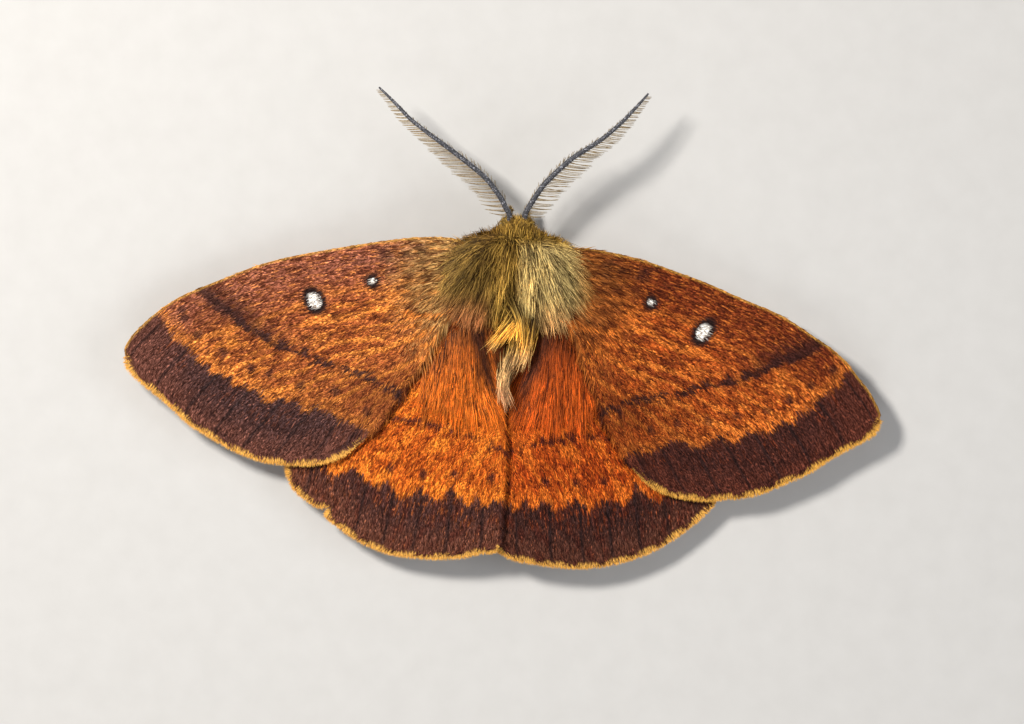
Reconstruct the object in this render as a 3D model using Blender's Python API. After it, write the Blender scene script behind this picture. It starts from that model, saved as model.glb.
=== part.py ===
"""A male moth, Anthela connexa, at rest with its wings spread flat.

The head points to -Y, the moth's left is +X and the floor is z = 0. Sizes are in millimetres and
new_object() turns them into metres. "out" is the distance from the body's midline and "back" is the
distance behind the middle of the thorax, so that one outline serves the left and the right side.
"""

import math
import random

import bmesh
import bpy
import numpy as np

MM = 0.001
GAP = 0.3
LEFT, RIGHT = 1, -1
SIDE_NAME = {LEFT: "left", RIGHT: "right"}

# Body lofts: back, height of the middle, half width, half height of each section.
THORAX = [
    (-2.9, 3.3, 1.7, 1.5),
    (-2.4, 3.5, 2.45, 2.1),
    (-1.5, 3.7, 2.95, 2.55),
    (-0.3, 3.75, 3.1, 2.7),
    (1.0, 3.6, 2.8, 2.4),
    (2.1, 3.3, 2.2, 1.9),
]
ABDOMEN = [
    (2.4, 2.9, 2.0, 1.6),
    (4.0, 2.45, 2.1, 1.6),
    (7.0, 2.1, 1.9, 1.4),
    (10.0, 1.75, 1.45, 1.1),
    (12.2, 1.45, 0.9, 0.72),
    (13.2, 1.35, 0.4, 0.35),
]
HEAD = [
    (-4.95, 2.95, 0.85, 0.9),
    (-4.6, 3.0, 1.2, 1.2),
    (-4.1, 3.1, 1.42, 1.33),
    (-3.6, 3.1, 1.45, 1.33),
    (-3.2, 3.1, 1.3, 1.2),
]
ABDOMEN_SEGMENTS = 7
SEGMENT_GROOVE = 0.045

EYE_OUT, EYE_BACK, EYE_HEIGHT, EYE_RADIUS = 1.12, -3.95, 3.0, 0.72
PALP = [(0.5, -4.5, 2.1), (0.55, -5.0, 1.6), (0.55, -5.4, 1.45), (0.52, -5.75, 1.5)]

# Wing plans in out and back, with the fringe. Each side runs from the root to the margin.
FORE_COSTA = [(1.7, -2.3), (4.5, -3.55), (10.0, -2.87), (16.0, -1.2), (20.5, 0.7), (23.2, 3.0), (24.2, 4.8)]
FORE_MARGIN = [
    (24.2, 4.8), (23.9, 5.7), (21.0, 8.15), (18.5, 9.8), (16.0, 10.85), (13.5, 11.2), (11.2, 10.9),
    (9.7, 10.2),
]
FORE_INNER = [(1.7, 0.7), (4.2, 2.0), (5.1, 4.0), (6.3, 6.0), (7.5, 8.0), (8.4, 9.2), (9.7, 10.2)]
HIND_COSTA = [(1.7, -0.3), (5.5, 0.4), (9.5, 3.0), (12.6, 6.3), (14.0, 10.2)]
HIND_MARGIN = [
    (14.0, 10.2), (13.6, 11.9), (12.4, 13.3), (10.4, 14.8), (8.0, 16.0), (5.0, 16.55), (2.2, 16.35),
    (0.1, 15.7),
]
HIND_INNER = [(1.7, 1.6), (1.6, 3.0), (1.0, 4.5), (0.45, 5.9), (0.1, 7.6), (0.0, 12.0), (0.1, 15.7)]
FORE_HINGE = (3.2, -1.2)
FORE_SWEEP_DEG = {LEFT: 0.0, RIGHT: 4.0}
# The left hindwing lies over the right one along the midline, where both reach across it.
REACH_ACROSS = {LEFT: 0.15, RIGHT: 0.3}
OVERLAP_LIFT = 0.46
OVERLAP_WIDTH = 1.7

WING_THICKNESS = 0.5
FORE_LIFT = 1.08
ROWS_ALONG_WING = 10
VEIN_HEIGHT = 0.14
VEIN_HALF_WIDTH = 0.013
CELL_END = 0.42
# Each vein: its share of the way from front to rear edge, and where along the wing it starts.
VEINS = [
    (0.05, 0.0), (0.18, 0.0), (0.31, CELL_END), (0.43, CELL_END),
    (0.54, CELL_END), (0.65, 0.0), (0.77, 0.25), (0.9, 0.0),
]
CELL_FRONT, CELL_REAR = 0.18, 0.65

# The resting surface: height over the midline along the body, falling to a low edge.
RIDGE_BACK = [-4.0, -1.0, 1.0, 4.0, 7.0, 10.0, 13.0, 16.6]
RIDGE_HEIGHT = [4.0, 4.3, 4.7, 4.95, 4.8, 4.15, 3.35, 2.2]
EDGE_HEIGHT = 1.2
SPREAD = 13.0

# Antenna shafts: out, back and height from the head to the tip.
ANTENNA = {
    LEFT: [
        (0.45, -4.55, 3.7), (0.9, -5.9, 4.0), (2.4, -7.65, 4.4),
        (4.8, -9.25, 4.6), (7.2, -10.9, 4.5), (9.2, -12.8, 4.2),
    ],
    RIGHT: [
        (0.4, -4.55, 3.7), (0.85, -6.2, 4.0), (2.1, -7.95, 4.4),
        (4.0, -9.7, 4.6), (6.0, -11.4, 4.5), (7.65, -13.2, 4.2),
    ],
}
SHAFT_RADIUS = 0.27
RAMI_PER_ROW = 12
FIRST_RAMUS, LAST_RAMUS = 0.1, 0.94
RAMUS_LENGTH_AT = [0.0, 0.35, 0.55, 0.75, 1.0]
RAMUS_LENGTH = [1.35, 1.5, 1.05, 0.75, 0.35]
RAMUS_ROOT, RAMUS_TIP = 0.27, 0.08
# The outer row points out and a little back, the inner row down and a little forward.
RAMUS_ROWS = [(0.93, 0.25, -0.27), (-0.2, -0.45, -0.87)]

# Legs: out, back and height of the joints from the hip to the ankle, then out and back of the toe.
LEGS = {
    "fore": [(0.9, -1.9, 1.9), (1.5, -2.1, 1.0), (3.1, -2.9, 2.1), (4.5, -2.8, 0.7), (6.4, -2.2)],
    "mid": [(1.2, -0.4, 1.8), (1.9, -0.3, 0.95), (4.3, 0.2, 2.45), (6.0, 1.1, 0.7), (8.2, 2.2)],
    "hind": [(1.1, 0.9, 2.0), (1.9, 1.2, 1.0), (4.4, 2.9, 2.5), (5.8, 5.3, 0.7), (6.8, 8.0)],
}
HIP_RADIUS, FEMUR_RADIUS, TIBIA_RADIUS, TARSUS_RADIUS = 0.5, 0.46, 0.4, 0.27
# A foot with this many sides has a flat under it.
FOOT_SIDES = 8
FOOT_HEIGHT = TARSUS_RADIUS * math.cos(math.pi / FOOT_SIDES)
FOOT_DOWN = 0.45

# The coat: flat locks in tiers that fan from the parting over the wing roots.
LOCK_HALF_WIDTH, LOCK_HALF_THICKNESS = 0.55, 0.25
LOCK_TAPER = [0.6, 0.9, 1.0, 0.7, 0.14]
LOCK_SINK = 0.5
SHOULDER = (0.55, -0.9)
FAN_SQUASH = 0.8
# Each tier: how far the tips reach, how far out the roots lie, number of locks, lift over the tier below.
FAN_TIERS = [(4.7, 1.05, 9, 0.0), (3.6, 0.55, 8, 0.28), (2.5, 0.15, 6, 0.42)]
FAN_LIFT_ALONG = {0.2: 0.1, 0.5: 1.0, 0.8: 0.85, 1.0: 0.45}
FAN_FROM_DEG, FAN_TO_DEG, FAN_ROOT_TURN_DEG = -58.0, 62.0, 16.0
COLLAR = [(0.3, -1.5, 0.45, -3.7), (0.7, -1.7, 1.1, -3.9), (0.95, -1.7, 1.6, -4.0)]
COLLAR_HALF_WIDTH = 0.45
COLLAR_TIP_HEIGHT, COLLAR_OVER_WING = 5.15, 1.1
# Locks round the neck: the angle about the body's line, and how far from that line the tip is.
RUFF = [(7.0, 2.25), (-11.0, 2.2), (-88.0, 2.05)]
RUFF_HALF_WIDTH = 0.42
RUFF_BACK = (-1.9, -3.6)
# The tuft on the rear of the thorax: out and back of each root and tip.
REAR_TUFT = [
    (-0.7, 0.2, -1.0, 4.0),
    (-0.45, 0.9, -0.65, 5.2),
    (-0.05, 1.2, 0.05, 6.2),
    (0.35, 0.9, 0.55, 5.3),
    (0.75, 0.3, 1.0, 4.1),
    (-0.2, 0.0, -0.35, 3.7),
    (0.25, 0.0, 0.3, 3.6),
    (-0.5, 1.3, 1.3, 3.1),
    (-0.35, -2.0, -0.5, 0.5),
    (0.3, -1.8, 0.45, 0.7),
    (0.05, -1.0, -0.05, 1.6),
]
REAR_TUFT_TIP_OVER_RIDGE, REAR_TUFT_ARCH = 1.3, 0.7
CLEAR_OF_FOREWING = FORE_LIFT + WING_THICKNESS / 2 + VEIN_HEIGHT + GAP + LOCK_HALF_THICKNESS + 0.17
# Head tufts: out of each root and tip, then back and height of the tip.
HEAD_TUFT = [
    (0.0, 0.0, -4.95, 4.75),
    (0.4, 0.5, -4.8, 4.8),
    (-0.4, -0.55, -4.8, 4.8),
    (0.8, 1.15, -4.5, 4.6),
    (-0.8, -1.2, -4.5, 4.6),
]
HEAD_TUFT_ROOT = (-3.65, 3.9)
FACE_TUFT = [(0.0, 0.0), (0.45, 0.4), (-0.45, -0.4)]
TAIL_TUFT_LOCKS = 7
# Each point of a tail lock: how far from the abdomen's line, and how far behind its end.
TAIL_TUFT_PATH = [(0.1, -1.2), (0.2, -0.6), (0.3, 0.0), (0.36, 0.5), (0.42, 0.95)]
# Long hair on each hindwing: out and back of each root and tip.
HIND_HAIR = [
    (2.0, 3.2, 1.55, 6.2),
    (2.3, 3.9, 1.6, 7.4),
    (2.7, 3.1, 2.4, 6.0),
    (3.0, 4.0, 2.6, 7.3),
    (3.4, 3.3, 3.4, 6.2),
    (3.6, 4.6, 3.6, 7.8),
    (2.0, 5.4, 1.2, 8.4),
    (2.9, 5.8, 2.5, 8.7),
    (4.3, 5.4, 4.7, 7.8),
]
HAIR_OVER_WING = 0.36

OLIVE = ("olive_fur", (0.30, 0.21, 0.05), 0.9)
ORANGE_FUR = ("orange_fur", (0.45, 0.14, 0.02), 0.9)
RUST = ("rust_scales", (0.36, 0.11, 0.02), 0.8)
FLAME = ("flame_scales", (0.55, 0.16, 0.01), 0.8)
GREY = ("grey_antenna", (0.12, 0.12, 0.13), 0.6)
DARK = ("dark_eye", (0.02, 0.012, 0.01), 0.15)
BROWN = ("brown_leg", (0.22, 0.12, 0.05), 0.85)


def curve_points(points, count):
    """Points evenly spaced along a smooth curve through the given points."""
    knots = np.array(points, float)
    padded = np.vstack([2 * knots[0] - knots[1], knots, 2 * knots[-1] - knots[-2]])
    share = np.linspace(0, 1, 24, endpoint=False)[:, None]
    fine = []
    for i in range(len(knots) - 1):
        before, start, end, after = padded[i : i + 4]
        fine.append(
            0.5
            * (
                2 * start
                + (end - before) * share
                + (2 * before - 5 * start + 4 * end - after) * share**2
                + (3 * start - before - 3 * end + after) * share**3
            )
        )
    fine = np.vstack([*fine, knots[-1:]])
    travelled = np.concatenate([[0], np.cumsum(np.linalg.norm(np.diff(fine, axis=0), axis=1))])
    wanted = np.linspace(0, travelled[-1], count)
    return np.column_stack([np.interp(wanted, travelled, fine[:, k]) for k in range(fine.shape[1])])


def resting_height(out, back):
    """Height of the surface that the spread hindwings lie on."""
    ridge = np.interp(back, RIDGE_BACK, RIDGE_HEIGHT)
    fall = 0.5 * (1 + np.cos(np.pi * np.clip(np.abs(out) / SPREAD, 0, 1)))
    return EDGE_HEIGHT + (ridge - EDGE_HEIGHT) * fall


def overlap_lift(side, out):
    """How far a hindwing is raised or lowered where it meets the other one."""
    share = np.clip((np.asarray(out) - REACH_ACROSS[RIGHT]) / OVERLAP_WIDTH, 0, 1)
    return side * OVERLAP_LIFT * (1 - share * share * (3 - 2 * share))


def thorax_top(out, back):
    """Height of the bare thorax over a point, or of its middle beside it."""
    stations = np.array(THORAX)
    middle, half_width, half_height = (np.interp(back, stations[:, 0], stations[:, k]) for k in (1, 2, 3))
    return middle + half_height * math.sqrt(max(0.0, 1 - (out / half_width) ** 2))


def material(finish):
    """The named finish as a Principled material, made once."""
    name, colour, roughness = finish
    made = bpy.data.materials.get(name)
    if made is None:
        made = bpy.data.materials.new(name)
        made.use_nodes = True
        shader = made.node_tree.nodes["Principled BSDF"]
        shader.inputs["Base Color"].default_value = (*colour, 1)
        shader.inputs["Roughness"].default_value = roughness
    return made


def new_object(name, points, faces, finish):
    """A mesh object from points in millimetres, with its faces turned outwards."""
    mesh = bpy.data.meshes.new(name)
    mesh.from_pydata([tuple(p) for p in np.array(points, float) * MM], [], faces)
    work = bmesh.new()
    work.from_mesh(mesh)
    bmesh.ops.recalc_face_normals(work, faces=work.faces)
    if work.calc_volume(signed=True) < 0:
        bmesh.ops.reverse_faces(work, faces=work.faces)
    work.to_mesh(mesh)
    work.free()
    mesh.materials.append(material(finish))
    made = bpy.data.objects.new(name, mesh)
    bpy.context.scene.collection.objects.link(made)
    return made


def skin_rings(rings):
    """Faces of a closed body whose rings have one point count, with a fan over each end."""
    sides = len(rings[0])
    faces = []
    for i in range(len(rings) - 1):
        for j in range(sides):
            k = (j + 1) % sides
            faces.append((i * sides + j, i * sides + k, (i + 1) * sides + k, (i + 1) * sides + j))
    last = (len(rings) - 1) * sides
    faces.append(tuple(reversed(range(sides))))
    faces.append(tuple(range(last, last + sides)))
    return faces


def loft(name, sections, finish, rings=10, sides=20, grow=0.0, groove=0.0, segments=0):
    """A body of elliptic sections along the midline, made larger all round by grow."""
    stations = curve_points(sections, rings)
    made = []
    for number, (back, height, half_width, half_height) in enumerate(stations):
        share = number / (rings - 1)
        waist = 1 - groove * (0.5 + 0.5 * math.cos(2 * math.pi * share * segments)) if segments else 1
        push = grow * (2 * share - 1)
        ring = []
        for j in range(sides):
            angle = 2 * math.pi * j / sides
            ring.append(
                (
                    (half_width * waist + grow) * math.cos(angle),
                    back + push,
                    height + (half_height * waist + grow) * math.sin(angle),
                )
            )
        made.append(ring)
    return new_object(name, [p for ring in made for p in ring], skin_rings(made), finish)


def rod(name, path, widths, finish, sides=6, flat=1.0, up=(0, 0, 1)):
    """A closed rod along path. widths are half widths and flat is the thickness as a share of the width."""
    path = np.array(path, float)
    rings = []
    for i, centre in enumerate(path):
        ahead = path[min(i + 1, len(path) - 1)] - path[max(i - 1, 0)]
        ahead = ahead / np.linalg.norm(ahead)
        across = np.cross(ahead, up)
        across = across / max(np.linalg.norm(across), 1e-9)
        over = np.cross(across, ahead)
        angles = 2 * np.pi * (np.arange(sides) + 0.5) / sides
        rings.append(
            centre + widths[i] * (np.outer(np.cos(angles), across) + flat * np.outer(np.sin(angles), over))
        )
    return new_object(name, np.vstack(rings), skin_rings(rings), finish)


def keep_largest(made):
    """Leaves only the largest closed surface of the object."""
    work = bmesh.new()
    work.from_mesh(made.data)
    bmesh.ops.dissolve_degenerate(work, edges=work.edges, dist=1e-7)
    bmesh.ops.triangulate(work, faces=work.faces)
    left = set(work.faces)
    islands = []
    while left:
        island, edge_faces = [], [left.pop()]
        while edge_faces:
            face = edge_faces.pop()
            island.append(face)
            for edge in face.edges:
                for other in edge.link_faces:
                    if other in left:
                        left.remove(other)
                        edge_faces.append(other)
        islands.append(island)

    def size(island):
        corners = [v.co for face in island for v in face.verts]
        spans = [max(c[k] for c in corners) - min(c[k] for c in corners) for k in range(3)]
        return sum(face.calc_area() for face in island) * sum(spans)

    largest = max(islands, key=size)
    scraps = [face for island in islands if island is not largest for face in island]
    bmesh.ops.delete(work, geom=scraps, context="FACES")
    work.to_mesh(made.data)
    work.free()


def boolean(base, others, operation, solver="EXACT"):
    """Applies one Boolean of the other objects to base and removes them."""
    group = bpy.data.collections.new(base.name + "_pieces")
    for other in others:
        bpy.context.scene.collection.objects.unlink(other)
        group.objects.link(other)
    bpy.context.scene.collection.children.link(group)
    change = base.modifiers.new("join", "BOOLEAN")
    change.operation = operation
    change.operand_type = "COLLECTION"
    change.collection = group
    change.solver = solver
    graph = bpy.context.evaluated_depsgraph_get()
    result = bpy.data.meshes.new_from_object(base.evaluated_get(graph), depsgraph=graph)
    base.modifiers.clear()
    base.data = result
    for other in others:
        bpy.data.objects.remove(other)
    bpy.data.collections.remove(group)
    keep_largest(base)
    return base


def thorax_cutter():
    """The thorax made larger by the gap, which parts the wings and legs from it."""
    return loft("thorax_cutter", THORAX, OLIVE, grow=GAP)


def swept(points, hinge, degrees):
    """Plan points turned backwards about the hinge."""
    angle = math.radians(degrees)
    away = np.array(points, float) - hinge
    turn = np.array([[math.cos(angle), math.sin(angle)], [-math.sin(angle), math.cos(angle)]])
    return away @ turn + hinge


def wing_plan(costa, margin, inner, shares, rows):
    """Grid of plan points, blended from the four sides of a wing. Rows run from the root to the margin."""
    front, rear = curve_points(costa, rows), curve_points(inner, rows)
    rim = curve_points(margin, 201)
    rim = np.column_stack([np.interp(shares, np.linspace(0, 1, 201), rim[:, k]) for k in range(2)])
    root = front[0] + np.outer(shares, rear[0] - front[0])
    s, t = shares[None, :, None], np.linspace(0, 1, rows)[:, None, None]
    corners = (1 - t) * ((1 - s) * front[0] + s * rear[0]) + t * ((1 - s) * front[-1] + s * rear[-1])
    return (1 - s) * front[:, None] + s * rear[:, None] + (1 - t) * root[None] + t * rim[None] - corners


def vein_height(share, along):
    """Height of the vein ridge over the membrane at a grid point."""
    on_cross_vein = abs(along - CELL_END) < 1e-6 and CELL_FRONT <= share <= CELL_REAR
    on_vein = any(abs(share - where) < 1e-6 and along >= start - 1e-6 for where, start in VEINS)
    return VEIN_HEIGHT if on_vein or on_cross_vein else 0.0


def wing(name, side, costa, margin, inner, lift, finish):
    """A wing membrane with its veins raised on both faces, its root still inside the thorax.

    lift gives the height over the resting surface for an array of distances from the midline.
    """
    shares = sorted(w + d for w, _ in VEINS for d in (-VEIN_HALF_WIDTH, 0, VEIN_HALF_WIDTH))
    shares = np.array([0.0, *shares, 1.0])
    plan = wing_plan(costa, margin, inner, shares, ROWS_ALONG_WING + 1)
    along = np.linspace(0, 1, ROWS_ALONG_WING + 1)
    nearest = int(np.argmin(abs(along - CELL_END)))
    along[nearest] = CELL_END
    rows, columns = plan.shape[:2]
    height = resting_height(plan[..., 0], plan[..., 1]) + lift(plan[..., 0])
    ridge = np.array([[vein_height(s, t) for s in shares] for t in along])
    points = []
    for sign in (1, -1):
        z = height + sign * (WING_THICKNESS / 2 + ridge * (1 if sign > 0 else 0.6))
        points.append(np.dstack([side * plan[..., 0], plan[..., 1], z]).reshape(-1, 3))
    top = np.arange(rows * columns).reshape(rows, columns)
    bottom = top + rows * columns
    faces = []
    for i in range(rows - 1):
        for j in range(columns - 1):
            a, b, c, d = top[i, j], top[i, j + 1], top[i + 1, j + 1], top[i + 1, j]
            faces += [(a, b, c), (a, c, d)]
            a, b, c, d = bottom[i, j], bottom[i, j + 1], bottom[i + 1, j + 1], bottom[i + 1, j]
            faces += [(c, b, a), (d, c, a)]
    rim = [*top[0], *top[1:, -1], *top[-1, -2::-1], *top[-2:0:-1, 0]]
    for here, there in zip(rim, [*rim[1:], rim[0]]):
        faces.append((here, there, there + rows * columns, here + rows * columns))
    return new_object(name, np.vstack(points), faces, finish)


def forewing(side):
    """One forewing, parted from the thorax."""
    edges = [swept(edge, FORE_HINGE, FORE_SWEEP_DEG[side]) for edge in (FORE_COSTA, FORE_MARGIN, FORE_INNER)]
    made = wing(f"forewing_{SIDE_NAME[side]}", side, *edges, lambda out: FORE_LIFT, RUST)
    return boolean(made, [thorax_cutter()], "DIFFERENCE")


def across_midline(points, side):
    """Hindwing plan points with those near the midline moved over it."""
    moved = np.array(points, float)
    near = np.clip(1 - moved[:, 0] / OVERLAP_WIDTH, 0, 1) * np.clip((moved[:, 1] - 6) / 2.5, 0, 1)
    moved[:, 0] -= REACH_ACROSS[side] * near
    return moved


def hindwing(side):
    """One hindwing with the long hair of its inner half, parted from the thorax."""
    edges = [across_midline(edge, side) for edge in (HIND_COSTA, HIND_MARGIN, HIND_INNER)]
    made = wing(f"hindwing_{SIDE_NAME[side]}", side, *edges, lambda out: overlap_lift(side, out), FLAME)
    # The exact solver leaves small open cracks where the locks cross the veins.
    boolean(made, [thorax_cutter()], "DIFFERENCE", solver="MANIFOLD")
    return boolean(made, [hind_hair(side, *ends) for ends in HIND_HAIR], "UNION", solver="MANIFOLD")


def lock(path, finish, half_width=LOCK_HALF_WIDTH, half_thickness=LOCK_HALF_THICKNESS):
    """A flat lock of hair that tapers to its tip along five path points."""
    corner = math.sqrt(2)
    widths = [half_width * corner * share for share in LOCK_TAPER]
    return rod("lock", path, widths, finish, sides=4, flat=half_thickness / half_width)


def jitter(size):
    """A seeded random offset of up to size either way."""
    return random.uniform(-size, size)


def hind_hair(side, root_out, root_back, tip_out, tip_back):
    """A lock that lies along the upper face of a hindwing with its root in the membrane."""
    path = []
    for share, over in zip((0, 0.22, 0.5, 0.8, 1), (-0.2, 0.5, 1, 0.85, 0.45)):
        out = root_out + (tip_out - root_out) * share + jitter(0.04)
        back = root_back + (tip_back - root_back) * share
        height = resting_height(out, back) + overlap_lift(side, out) + HAIR_OVER_WING * over
        path.append((side * out, back, height))
    return lock(path, FLAME, 0.48, 0.24)


def fan_lock(side, reach, root_reach, angle, lift):
    """A lock that leaves the back of the thorax and lies out over the wing root."""
    turned = angle - math.radians(FAN_ROOT_TURN_DEG)
    root = np.array([math.cos(turned), FAN_SQUASH * math.sin(turned)]) * root_reach + SHOULDER
    tip = np.array([math.cos(angle), FAN_SQUASH * math.sin(angle)]) * (reach + jitter(0.25)) + SHOULDER
    path = []
    for share in (0, 0.2, 0.5, 0.8, 1):
        out, back = root + (tip - root) * share + (0, 0.25 * share * (1 - share))
        if share == 0:
            height = thorax_top(out, back) - LOCK_SINK
        else:
            over_wing = float(resting_height(out, back)) + CLEAR_OF_FOREWING
            height = max(thorax_top(out, back), over_wing) + lift * FAN_LIFT_ALONG[share]
        path.append((side * out, back, height))
    return lock(path, OLIVE)


def collar_lock(side, root_out, root_back, tip_out, tip_back):
    """A lock of the collar that points forward over the back of the head."""
    path = []
    for share in (0, 0.25, 0.55, 0.8, 1):
        out = root_out + (tip_out - root_out) * share
        back = root_back + (tip_back - root_back) * share + jitter(0.05)
        start = thorax_top(root_out, root_back)
        height = start - LOCK_SINK if share == 0 else start + (COLLAR_TIP_HEIGHT - start) * share
        if share and out > COLLAR_OVER_WING:
            height = max(height, float(resting_height(out, back)) + CLEAR_OF_FOREWING)
        path.append((side * out, back, height))
    return lock(path, OLIVE, COLLAR_HALF_WIDTH)


def rear_lock(root_out, root_back, tip_out, tip_back):
    """A lock of the tuft that lies back over the inner edges of the hindwings."""
    start = thorax_top(root_out, root_back)
    end = float(resting_height(tip_out, tip_back)) + REAR_TUFT_TIP_OVER_RIDGE
    path = []
    for share in (0, 0.2, 0.5, 0.8, 1):
        out = root_out + (tip_out - root_out) * share
        back = root_back + (tip_back - root_back) * share
        height = start - LOCK_SINK if share == 0 else start + (end - start) * share
        height += REAR_TUFT_ARCH * share * (1 - share)
        path.append((out, back, height + jitter(0.03)))
    return lock(path, OLIVE)


def ruff_lock(side, angle_deg, tip_radius):
    """A lock at the neck that leaves the front of the thorax and points forward."""
    angle = math.radians(angle_deg)
    start, end = RUFF_BACK
    stations = np.array(THORAX)
    path = []
    for share in (0, 0.25, 0.5, 0.8, 1):
        back = start + (end - start) * share
        middle, half_width, half_height = (np.interp(back, stations[:, 0], stations[:, k]) for k in (1, 2, 3))
        reach = 0.75 if share == 0 else max(0.95, 1 + 0.1 * share)
        out, over = half_width * reach * math.cos(angle), half_height * reach * math.sin(angle)
        scale = 1 + (tip_radius / math.hypot(out, over) - 1) * max(0, share - 0.25) / 0.75
        path.append((side * out * scale, back, middle + over * scale))
    widths = [RUFF_HALF_WIDTH * math.sqrt(2) * share for share in LOCK_TAPER]
    outwards = (side * math.cos(angle), 0, math.sin(angle))
    return rod("ruff", path, widths, OLIVE, 4, LOCK_HALF_THICKNESS / RUFF_HALF_WIDTH, outwards)


def thorax():
    """The thorax with its coat of locks over a bare core."""
    made = loft("thorax", THORAX, OLIVE)
    locks = [rear_lock(*ends) for ends in REAR_TUFT]
    for side in (LEFT, RIGHT):
        locks += [collar_lock(side, *ends) for ends in COLLAR]
        locks += [ruff_lock(side, *ends) for ends in RUFF]
        for reach, root_reach, count, lift in FAN_TIERS:
            for angle in np.radians(np.linspace(FAN_FROM_DEG, FAN_TO_DEG, count)):
                locks.append(fan_lock(side, reach, root_reach, angle + jitter(0.03), lift))
    # So many locks cross here that the exact solver leaves an edge with four faces.
    return boolean(made, locks, "UNION", solver="MANIFOLD")


def abdomen():
    """The abdomen with its ring grooves and tail tuft, hidden under the hindwings."""
    rings = ABDOMEN_SEGMENTS * 3 + 1
    made = loft("abdomen", ABDOMEN, ORANGE_FUR, rings, 14, groove=SEGMENT_GROOVE, segments=ABDOMEN_SEGMENTS)
    back, height = ABDOMEN[-1][0], ABDOMEN[-1][1]
    locks = []
    for angle in 2 * np.pi * (np.arange(TAIL_TUFT_LOCKS) + 0.5) / TAIL_TUFT_LOCKS:
        across, over = math.cos(angle), math.sin(angle)
        path = [(across * away, back + behind, height + over * away) for away, behind in TAIL_TUFT_PATH]
        locks.append(lock(path, ORANGE_FUR, 0.34, 0.25))
    return boolean(made, locks, "UNION")


def ball(name, side, radius, finish):
    """A round eye at its place on the head."""
    mesh = bpy.data.meshes.new(name)
    work = bmesh.new()
    bmesh.ops.create_uvsphere(work, u_segments=14, v_segments=9, radius=radius * MM)
    bmesh.ops.translate(work, verts=work.verts, vec=(side * EYE_OUT * MM, EYE_BACK * MM, EYE_HEIGHT * MM))
    work.to_mesh(mesh)
    work.free()
    mesh.materials.append(material(finish))
    made = bpy.data.objects.new(name, mesh)
    bpy.context.scene.collection.objects.link(made)
    return made


def head():
    """The head with its tufts and a socket for each eye."""
    made = loft("head", HEAD, OLIVE, rings=7, sides=16)
    tufts = []
    root_back, root_height = HEAD_TUFT_ROOT
    for root_out, *tip in HEAD_TUFT:
        root, tip = np.array([root_out, root_back, root_height]), np.array(tip)
        path = [root + (tip - root) * share for share in (0, 0.25, 0.5, 0.8, 1)]
        tufts.append(lock(path, OLIVE, 0.36))
    for root_out, tip_out in FACE_TUFT:
        path = [
            (root_out + (tip_out - root_out) * share, -4.6 - 0.75 * share, 3.0 - 0.6 * share * share)
            for share in (0, 0.25, 0.5, 0.8, 1)
        ]
        tufts.append(lock(path, OLIVE, 0.36))
    boolean(made, tufts, "UNION")
    sockets = [ball(f"socket_{s}", s, EYE_RADIUS + 1.07 * GAP, DARK) for s in (LEFT, RIGHT)]
    return boolean(made, sockets, "DIFFERENCE")


def head_cutter():
    """The head made larger by the gap."""
    return loft("head_cutter", HEAD, OLIVE, rings=7, sides=16, grow=GAP)


def eye(side):
    """One compound eye."""
    return ball(f"eye_{SIDE_NAME[side]}", side, EYE_RADIUS, DARK)


def palp(side):
    """One short palp under the face."""
    path = np.array(PALP) * (side, 1, 1)
    made = rod(f"palp_{SIDE_NAME[side]}", path, [0.28, 0.36, 0.34, 0.2], OLIVE)
    return boolean(made, [head_cutter()], "DIFFERENCE")


def antenna_path(side, count):
    """Points along an antenna's shaft."""
    path = curve_points(ANTENNA[side], count)
    path[:, 0] *= side
    return path


def ramus(side, share, direction):
    """One side branch of an antenna, bent a little towards the tip."""
    path = antenna_path(side, 201)
    spot = round(share * 200)
    ahead = path[min(spot + 1, 200)] - path[spot - 1]
    ahead = ahead / np.linalg.norm(ahead)
    away = np.array(direction) * (side, 1, 1)
    length = np.interp(share, RAMUS_LENGTH_AT, RAMUS_LENGTH) * (1 + jitter(0.05))
    points = [path[spot] + away * length * t + ahead * 0.12 * t * t for t in (0, 0.55, 1)]
    slim = np.interp(share, [0.75, 1], [1, 0.6])
    widths = [RAMUS_ROOT * 1.15 * slim, RAMUS_ROOT * slim, RAMUS_TIP]
    return rod("ramus", points, widths, GREY, sides=3, up=ahead)


def antenna(side):
    """One antenna: a shaft with two rows of side branches."""
    path = antenna_path(side, 13)
    widths = [SHAFT_RADIUS * (1 - 0.55 * max(0, i / 12 - 0.8) / 0.2) for i in range(13)]
    made = rod(f"antenna_{SIDE_NAME[side]}", path, widths, GREY, sides=6)
    shares = np.linspace(FIRST_RAMUS, LAST_RAMUS, RAMI_PER_ROW)
    boolean(made, [ramus(side, share, row) for row in RAMUS_ROWS for share in shares], "UNION")
    return boolean(made, [head_cutter()], "DIFFERENCE")


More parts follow.
